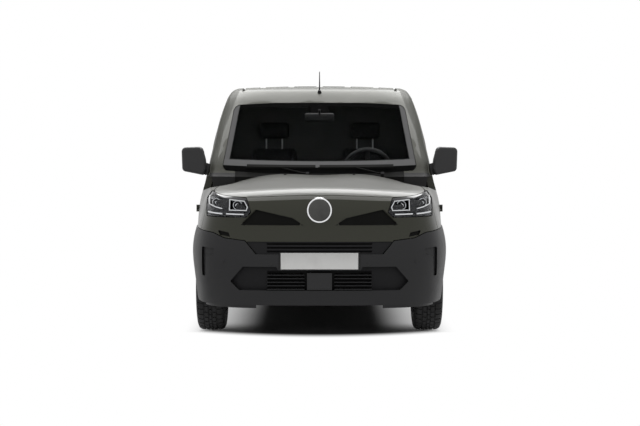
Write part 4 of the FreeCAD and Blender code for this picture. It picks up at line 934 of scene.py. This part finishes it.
# Wheels
def dressed_tyre():
    """One tyre with grooves, cut shoulders and a stepped side; it stands for the plain CAD tyre."""
    low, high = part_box("tyre_front_left")
    centre = (low + high) / 2
    top = (high.z - low.z) / 2
    half = (high.x - low.x) / 2
    bead = [(0.0834, 0.2034), (0.089, 0.2105), (0.094, 0.215), (0.0948, 0.22), (0.0985, 0.226)]
    wall = [
        (0.001, 0.238), (0.0002, 0.248), (0.001, 0.249), (0.001, 0.256), (0.0002, 0.257), (0.0, 0.262),
        (0.0012, 0.276), (0.0035, 0.286), (0.0035, 0.2905), (0.0065, 0.2985), (0.012, 0.3105), (0.02, 0.3165),
    ]
    tread = [
        (half - 0.03, 0.0052), (half - 0.0365, 0.004), (0.05, 0.0022), (0.049, 0.01), (0.04, 0.01),
        (0.039, 0.0014), (0.017, 0.0002), (0.016, 0.009), (0.007, 0.009), (0.006, 0.0001),
    ]
    outer = bead + [(half - inwards, radius) for inwards, radius in wall]
    outer += [(along, top - depth) for along, depth in tread]
    ring = outer + [(-along, radius) for along, radius in reversed(outer)]
    tyre = turned(ring + [ring[0]], centre, (1, 0, 0), TREAD_STEPS)

    def cut_here(middle, normal):
        """Every sixth face of the shoulders, and of the ribs between the grooves."""
        offset = middle - centre
        step = math.floor(math.degrees(math.atan2(offset.z, offset.y)) / (360 / TREAD_STEPS)) % 6
        radius = math.hypot(offset.y, offset.z)
        shoulder = abs(offset.x) > 0.053 and radius > 0.313
        rib = 0.0185 < abs(offset.x) < 0.0375 and radius > top - 0.003
        middle_rib = abs(offset.x) < 0.005 and radius > top - 0.003
        return (shoulder or middle_rib) and step == 0 or rib and step == 3

    choose(tyre, cut_here)
    bpy.ops.mesh.extrude_region_shrink_fatten(TRANSFORM_OT_shrink_fatten={"value": -0.0055})
    begin()
    return tyre


def middle_of(node):
    low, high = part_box(node)
    return (low + high) / 2


def wheels():
    """Dressed tyres on all four wheels, and bolts, valve and hub cap on each rim."""
    corners = [(end + "_" + side, side) for end in ("front", "rear") for side in SIDES]
    home = middle_of("tyre_front_left")
    tyre = dressed_tyre()
    tyres = [copied(tyre, middle_of("tyre_" + name) - home) for name, side in corners]
    deleted(tyre)
    for piece, (name, side) in zip(tyres, corners):
        ready(piece, "tyre_dressed_" + name, TYRE, "wheel_" + name, 38.0)
        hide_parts("tyre_" + name)
    bolts = []
    for k in range(BOLT_COUNT):
        angle = math.radians(90 + 360 / BOLT_COUNT * k)
        place = home + Vector((0.016, BOLT_CIRCLE * math.cos(angle), BOLT_CIRCLE * math.sin(angle)))
        points = [(0.02, 0.0), (0.02, 0.01), (0.037, 0.01), (0.041, 0.007), (0.041, 0.0)]
        head = turned(points, place, (1, 0, 0), 6)
        rounded(head, 0.0012, 2)
        bolts.append(head)
    valve_foot, valve_head = home + Vector((0.02, 0.0, 0.176)), home + Vector((0.052, 0.002, 0.17))
    points = [(0.07, 0.031), (0.0765, 0.029), (0.0785, 0.024), (0.079, 0.0)]
    cap = turned(points, home, (1, 0, 0), 48)
    fittings = (
        (joined(*bolts), "wheel_bolts_", CASTING),
        (bar(valve_foot, valve_head, 0.0042, 16), "valve_", RUBBER_SEAL),
        (cap, "hub_cap_", BLACK),
    )
    for name, side in corners:
        move = middle_of("rim_" + name) - home
        right = side == "right"
        move.x += 2 * home.x * right
        for piece, label, finish in fittings:
            ready(copied(piece, move, right), label + name, finish, "wheel_" + name)
    deleted(*[piece for piece, label, finish in fittings])


# Sides
def mirror_details():
    """Mirror glass in its dark surround, on the back of each head."""
    y = face_back(cad["mirror_left"], 0.97, 1.235)
    doors = ("front_door_left", "front_door_right")
    glass = block((0.897, y - 0.001, 1.16), (1.04, y + 0.0062, 1.308))
    tapered(glass, toward(0, -1), (1.0, 1.0, 0.82), (0.897, y, 1.24))
    round_corners(glass, 1, 0.02, 6)
    pressed(glass, toward(1), 0.004, (0.0, -0.0012, 0.0))
    both_sides(glass, "mirror_glass", MIRROR_FACE, doors)
    surround = block((0.889, y - 0.006, 1.152), (1.047, y + 0.0022, 1.315))
    tapered(surround, toward(0, -1), (1.0, 1.0, 0.83), (0.889, y, 1.24))
    round_corners(surround, 1, 0.025, 6)
    rounded(surround, 0.0015, 2)
    both_sides(surround, "mirror_surround", RUBBER_SEAL, doors)


def handle(name, node, body, start, end, side):
    """A pull handle over its recess, on a side door, from start to end along y."""
    z = HANDLE_HEIGHT
    middle = (start + end) / 2
    x = abs(face_x(cad[node], middle, z, side))
    grip = block((x + 0.006, start, z - 0.013), (x + 0.019, end, z + 0.013))
    bowed(grip, lambda place, normal: abs(place.y - middle) > (end - start) * 0.45,
          (-0.014, 0.0, 0.0), (1.0, 1.0, 0.8), (x, middle, z))
    cup = block((x - 0.01, start + 0.028, z - 0.024), (x + 0.0018, end - 0.028, z + 0.024))
    round_corners(cup, 0, 0.018, 5)
    pressed(cup, toward(0), 0.004, (-0.0035, 0.0, 0.0))
    rounded(cup, 0.0012, 2)
    for piece, label, finish in ((grip, "handle", BUMPER), (cup, "handle_cup", RUBBER_SEAL)):
        if side < 0:
            mirrored(piece)
        ready(piece, name + "_" + label, finish, body)


def skirting(name, node, body, start, end, side, low=0.5, high=0.6, thick=0.011, finish=None, slot=None):
    """A moulding that follows the side of the van from start to end along y, between low and high."""
    middle = (side * 1.4, (start + end) / 2, (low + high) / 2)
    steps = max(6, int((end - start) / 0.04))
    strip = sheet(middle, (end - start, high - low), (steps, 7), FACING_LEFT)
    laid_on(strip, cad[node], "-x" if side > 0 else "+x")
    delete_points(strip, lambda place, normal: abs(place.x) > 1.3)
    facing_out(strip)
    if strip.data.polygons[0].normal.x * side < 0:
        everything(strip)
        bpy.ops.mesh.flip_normals()
        begin()
    modify(strip, "SOLIDIFY", thickness=thick, offset=0.82)
    rounded(strip, min(0.004, thick * 0.4), 3, 50.0)
    ready(strip, name, finish or BUMPER, body)


def side_trim():
    """Mouldings and handles of the sides, the sliding door's rail and the fuel flap."""
    for side, sign in SIDES.items():
        door = "front_door_" + side
        skirting("door_moulding_" + side, door, door, -0.7, 0.275, sign)
        handle("front_door_" + side, door, door, 0.035, 0.235, sign)
    skirting("side_moulding_left", "side_panel_left", "body", 0.325, 1.075, 1)
    skirting("sliding_door_moulding", "sliding_door_right", "body", 0.35, 0.995, -1)
    handle("sliding_door", "sliding_door_right", "body", 0.375, 0.575, -1)
    rail = (1.062, 1.092, 0.006, BLACK, "black_plastic")
    skirting("sliding_rail", "side_panel_right", "body", 1.045, 1.985, -1, *rail)
    flap = (0.86, 1.02, 0.004, PAINT, "body_paint")
    skirting("fuel_flap", "side_panel_left", "body", 0.6, 0.77, 1, *flap)


# Rear
def rear_trim():
    """The rear plate and its lamp, the rear doors' pull handle and the high brake lamp."""
    door = cad["rear_door_left"]
    y = face_back(door, 0.36, 0.84)
    plate("rear_plate", (0.1, y + 0.001, 0.785), (0.62, y + 0.0053, 0.895), "rear_door_left", 1)
    y = face_back(door, 0.0, 0.84)
    lamp = block((0.28, y - 0.006, 0.915), (0.44, y + 0.02, 0.945))
    choose(lamp, toward(1))
    bpy.ops.transform.translate(value=(0.0, 0.0, -0.004))
    bpy.ops.mesh.inset(thickness=0.006)
    begin()
    rounded(lamp, 0.004)
    ready(lamp, "plate_lamp", BUMPER, "rear_door_left")
    y = face_back(door, -0.075, 0.95)
    grip = block((-0.098, y + 0.01, 0.875), (-0.066, y + 0.026, 1.045))
    bowed(grip, lambda place, normal: abs(place.z - 0.96) > 0.075, (0.0, -0.02, 0.0))
    ready(grip, "rear_door_handle", BUMPER, "rear_door_left")
    cup = block((-0.108, y - 0.008, 0.895), (-0.056, y + 0.0015, 1.025))
    round_corners(cup, 1, 0.018, 5)
    pressed(cup, toward(1), 0.004, (0.0, -0.003, 0.0))
    ready(cup, "rear_door_handle_cup", RUBBER_SEAL, "rear_door_left")
    y = face_back(cad["roof_panel"], 0.0, 1.735) or 2.0
    low, high, shift = (-0.17, y - 0.02, 1.722), (0.17, y + 0.007, 1.746), (0.0, -0.002, 0.0)
    framed("high_brake_lamp", low, high, 1, 0.005, shift, (0.003, 3), TAIL_LENS, "body")


# Cab
def stuffed(low, high, edge, cell=0.009):
    """A rounded block with an even mesh, ready to be swollen."""
    pad = block(low, high)
    everything(pad)
    bpy.ops.mesh.bevel(offset=edge, segments=4, affect="EDGES")
    begin()
    modify(pad, "REMESH", mode="VOXEL", voxel_size=cell)
    return pad


def swollen(pad, cap):
    """Blow the pad up a little with cloth simulation; no point moves farther than cap."""
    before = [point.co.copy() for point in pad.data.vertices]
    only(pad)
    scene = bpy.context.scene
    scene.frame_start, scene.frame_end = 1, SWELL_FRAMES
    cloth = pad.modifiers.new("swell", "CLOTH")
    cloth.settings.quality = 4
    cloth.settings.mass = 0.4
    cloth.settings.use_pressure = True
    cloth.settings.uniform_pressure_force = 4.0
    cloth.settings.effector_weights.gravity = 0.0
    cloth.point_cache.frame_start, cloth.point_cache.frame_end = 1, SWELL_FRAMES
    for count in range(1, SWELL_FRAMES + 1):
        scene.frame_set(count)
    bpy.ops.object.modifier_apply(modifier=cloth.name)
    scene.frame_set(1)
    for point, start in zip(pad.data.vertices, before):
        shift = point.co - start
        if shift.length > cap:
            point.co = start + shift.normalized() * cap


def pinched(pad, test, axis, places, way, depth, width):
    """Press sewn channels into the pad, against the way, at places on an axis where the test passes."""
    for point in pad.data.vertices:
        for place in places:
            if test(point.co, point.normal):
                gap = abs(getattr(point.co, axis) - place)
                if gap < width:
                    share = (1 - (gap / width) ** 2) ** 2
                    point.co = point.co - Vector(way) * depth * share


def finished_pad(pad, name):
    modify(pad, "SUBSURF", levels=1, render_levels=1)
    ready(pad, name, CLOTH, "body", 80.0)


def seat():
    """One seat: cushion, back and head restraint on a plastic base, copied to the other place."""
    low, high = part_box("seat_driver")
    x = (low.x + high.x) / 2
    up, ahead = (0, 0, 1), (0, -1, 0)

    def on(way, reach=1.0):
        return lambda place, normal: normal.dot(Vector(way)) > 0.3 and abs(place.x - x) < reach

    cushion = stuffed((x - 0.232, -0.345, 0.585), (x + 0.232, 0.15, 0.722), 0.045)
    swollen(cushion, 0.014)
    pinched(cushion, on(up), "x", (x - 0.15, x + 0.15), up, 0.016, 0.022)
    pinched(cushion, on(up, 0.15), "y", (-0.09,), up, 0.01, 0.018)
    foot, height = 0.655, 0.663
    back = stuffed((x - 0.228, 0.105, foot), (x + 0.228, 0.205, foot + height), 0.04)
    for point in back.data.vertices:
        share = (point.co.z - foot) / height
        point.co.x = x + (point.co.x - x) * (1.0 - 0.18 * max(0.0, share - 0.55) / 0.45)
    swollen(back, 0.014)
    pinched(back, on(ahead), "x", (x - 0.14, x + 0.14), ahead, 0.014, 0.02)
    pinched(back, on(ahead, 0.14), "z", (0.86, 1.1), ahead, 0.01, 0.016)
    for point in back.data.vertices:
        point.co.y += (point.co.z - 0.64) * 0.158
    restraint = stuffed((x - 0.12, 0.222, 1.384), (x + 0.12, 0.28, 1.518), 0.026, 0.007)
    swollen(restraint, 0.008)
    base = block((x - 0.212, -0.325, 0.4005), (x + 0.212, 0.145, 0.575))
    pressed(base, lambda middle, normal: abs(normal.x) > 0.9, 0.03, -0.012, True)
    pressed(base, toward(1, -1), 0.03, -0.012)
    rounded(base, 0.008)
    posts = [bar((x + dx, 0.246, 1.28), (x + dx, 0.252, 1.4), 0.0065) for dx in (-0.065, 0.065)]
    lever = bar((x - 0.236, -0.02, 0.6), (x - 0.236, 0.06, 0.625), 0.008)
    pads = ((cushion, "seat_cushion_"), (back, "seat_back_"), (restraint, "head_restraint_"))
    others = (
        (base, "seat_base_", CAB_TRIM), (joined(*posts), "restraint_posts_", CASTING),
        (lever, "seat_lever_", CAB_TRIM),
    )
    for end, shift in (("driver", 0.0), ("passenger", -2 * x)):
        copies = [copied(pad, (shift, 0.0, 0.0)) for pad, label in pads]
        for copy, (pad, label) in zip(copies, pads):
            finished_pad(copy, label + end)
        for piece, label, finish in others:
            ready(copied(piece, (shift, 0.0, 0.0)), label + end, finish, "body")
        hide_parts("seat_" + end)
    deleted(*[pad for pad, label in pads], *[piece for piece, label, finish in others])


def cab_details():
    """Interior mirror, sun visors, screen, vents, knobs, gear lever, wheel pad and column stalks."""
    head = block((-0.115, -0.395, 1.52), (0.115, -0.365, 1.585))
    rounded(head, 0.016, 4)
    stem = bar((0.0, -0.385, 1.57), (0.0, -0.425, 1.612), 0.008)
    cab_piece(joined(head, stem), "interior_mirror")
    glass = block((-0.103, -0.366, 1.528), (0.103, -0.3635, 1.577))
    rounded(glass, 0.001, 2)
    round_corners(glass, 1, 0.01, 4)
    ready(glass, "interior_mirror_glass", MIRROR_FACE)
    visor = block((0.155, -0.225, 1.64), (0.545, -0.065, 1.654))
    round_corners(visor, 2, 0.03, 5)
    rounded(visor, 0.004)
    both_sides(visor, "sun_visor", CAB_TRIM)
    fascia = cad["dashboard"]
    y = face_back(fascia, 0.0, 1.02)
    low, high = (-0.105, y - 0.006, 0.985), (0.105, y + 0.012, 1.095)
    framed("centre_screen", low, high, 1, 0.006, (0.0, -0.002, 0.0), (0.004, 3), BLACK)
    rings = [(-0.004, 0.034), (0.006, 0.034), (0.01, 0.031), (0.01, 0.027), (0.002, 0.025)]
    rings += [(0.002, 0.008), (0.007, 0.006), (0.007, 0.0)]
    places = [(x, face_back(fascia, x, VENT_HEIGHT), VENT_HEIGHT) for x in (-0.17, 0.17, 0.64)]
    vents = [turned(rings, place, (0, 1, 0.3), 40) for place in places]
    vents.append(copied(vents[-1], (-1.28, 0.0, 0.0)))
    cab_piece(joined(*vents), "fascia_vents")
    rings = [(-0.004, 0.021), (0.004, 0.021), (0.006, 0.018), (0.018, 0.0165), (0.02, 0.014), (0.02, 0.0)]
    places = [(x, face_back(fascia, x, KNOB_HEIGHT), KNOB_HEIGHT) for x in (-0.06, 0.0, 0.06)]
    knobs = [turned(rings, place, (0, 1, 0.1), 32) for place in places]
    cab_piece(joined(*knobs), "heater_knobs")
    rings = [(0.0, 0.038), (0.012, 0.032), (0.03, 0.01), (0.085, 0.008), (0.092, 0.017), (0.112, 0.023)]
    rings += [(0.13, 0.021), (0.138, 0.012), (0.14, 0.0)]
    cab_piece(turned(rings, (-0.02, -0.64, 0.799), (0, 0.35, 1), 32), "gear_lever")
    way = Vector((0.0, math.cos(COLUMN_TILT), math.sin(COLUMN_TILT)))
    centre = Vector((0.372, -0.4795, 1.145))
    rings = [(-0.006, 0.066), (0.004, 0.066), (0.01, 0.06), (0.014, 0.048), (0.016, 0.0)]
    cab_piece(turned(rings, centre - way * 0.002, way, 48), "wheel_pad", "steering_wheel")
    stalks = []
    for sign in (1, -1):
        start = centre - way * 0.075 + Vector((sign * 0.02, 0, 0))
        end = centre - way * 0.06 + Vector((sign * 0.15, 0.005, 0.01))
        stalks.append(bar(start, end, 0.0065))
    cab_piece(joined(*stalks), "column_stalks")


def cab_piece(piece, name, body="body"):
    ready(piece, name, CAB_TRIM, body)


def belts():
    """A belt hangs at each door post, from its upper guide to its reel."""
    foot, length = 0.55, 0.9
    for side, sign in SIDES.items():
        belt = sheet((sign * 0.7, 0.238, foot + length / 2), (0.046, length), (2, 12), FACING_FRONT)
        for point in belt.data.vertices:
            share = (point.co.z - foot) / length
            point.co.x = point.co.x + sign * (0.115 - 0.085 * share)
            point.co.y += 0.01 * math.sin(share * 3.0)
        modify(belt, "SOLIDIFY", thickness=0.0014, offset=0.0)
        ready(belt, "belt_" + side, WEBBING)


# Studio
def studio():
    """A white floor that keeps the van's shadow close to it, with painted shadow and light under the van, a
    white room and soft light from above.
    """
    begin()
    bpy.ops.mesh.primitive_plane_add(size=FLOOR_SIZE, location=(0, 0, -0.0005))
    floor = bpy.context.object
    floor.name = "studio_floor"
    f = Finish("studio_floor")
    rays = f.tree.nodes.new("ShaderNodeLightPath").outputs
    seen = Sum(f, rays["Is Camera Ray"]).larger(Sum(f, rays["Is Glossy Ray"]))
    seen = seen.larger(Sum(f, rays["Is Transmission Ray"]))
    dark = f.mix(f.noise(30.0, 3.0), grey(0.3), grey(0.32))
    x, y, z = f.axes()
    away = (x.absolute() - 0.9).larger(x * x * 0.35 - y - 1.72).larger(y - 2.1)
    # painted shadow and light: seen from the camera, the floor under the van is coloured near black in the
    # middle and pale towards the wheels
    floor_painted_shade_and_light = f.mix(x.absolute().step(0.35, 0.85), grey(0.1), grey(0.9))
    f.feed(Base_Color=f.mix(seen, dark, floor_painted_shade_and_light), Roughness=0.95, Specular_IOR_Level=0.0)
    # painted light: a faint glow along both sides under the van, from the front wheels back, seen from the
    # camera
    beside = x.absolute().step(0.4, 0.75) * y.step(-1.45, -0.8) * 0.35
    share = seen * away.step(-0.16, 0.1).larger(beside)
    white = {"Color": (1.0, 1.0, 1.0, 1.0), "Strength": 1.0}
    f.second_shader(share, "ShaderNodeEmission", white)
    floor.data.materials.append(f.material)
    world = bpy.data.worlds[0] if bpy.data.worlds else bpy.data.worlds.new("studio")
    bpy.context.scene.world = world
    world.use_nodes = True
    backdrop = world.node_tree.nodes["Background"]
    backdrop.inputs[0].default_value = (1, 1, 1, 1)
    backdrop.inputs[1].default_value = 1.0
    bpy.ops.object.light_add(type="AREA", location=LIGHT_PLACE)
    bpy.context.object.visible_camera = False
    lamp = bpy.context.object.data
    lamp.shape = "RECTANGLE"
    lamp.size, lamp.size_y = LIGHT_SIZE
    lamp.energy = LIGHT_POWER


def camera():
    """The camera of the photograph: level with the bonnet, far off, looking slightly down."""
    begin()
    turn = (math.radians(90 - CAMERA_DIP), 0, 0)
    bpy.ops.object.camera_add(location=CAMERA_PLACE, rotation=turn)
    eye = bpy.context.object
    eye.data.lens = 89.2
    eye.data.sensor_width = 36.0
    eye.data.clip_end = 200.0
    bpy.context.scene.camera = eye


for make in (
    camera, lamp_cover, lamp_units, disc_rim, nose_insets, front_details, bonnet_details, cowl_details,
    wiper_blades, wheels, mirror_details, side_trim, rear_trim, seat, cab_details, belts, studio,
):
    make()
bpy.context.scene.view_settings.view_transform = "Standard"
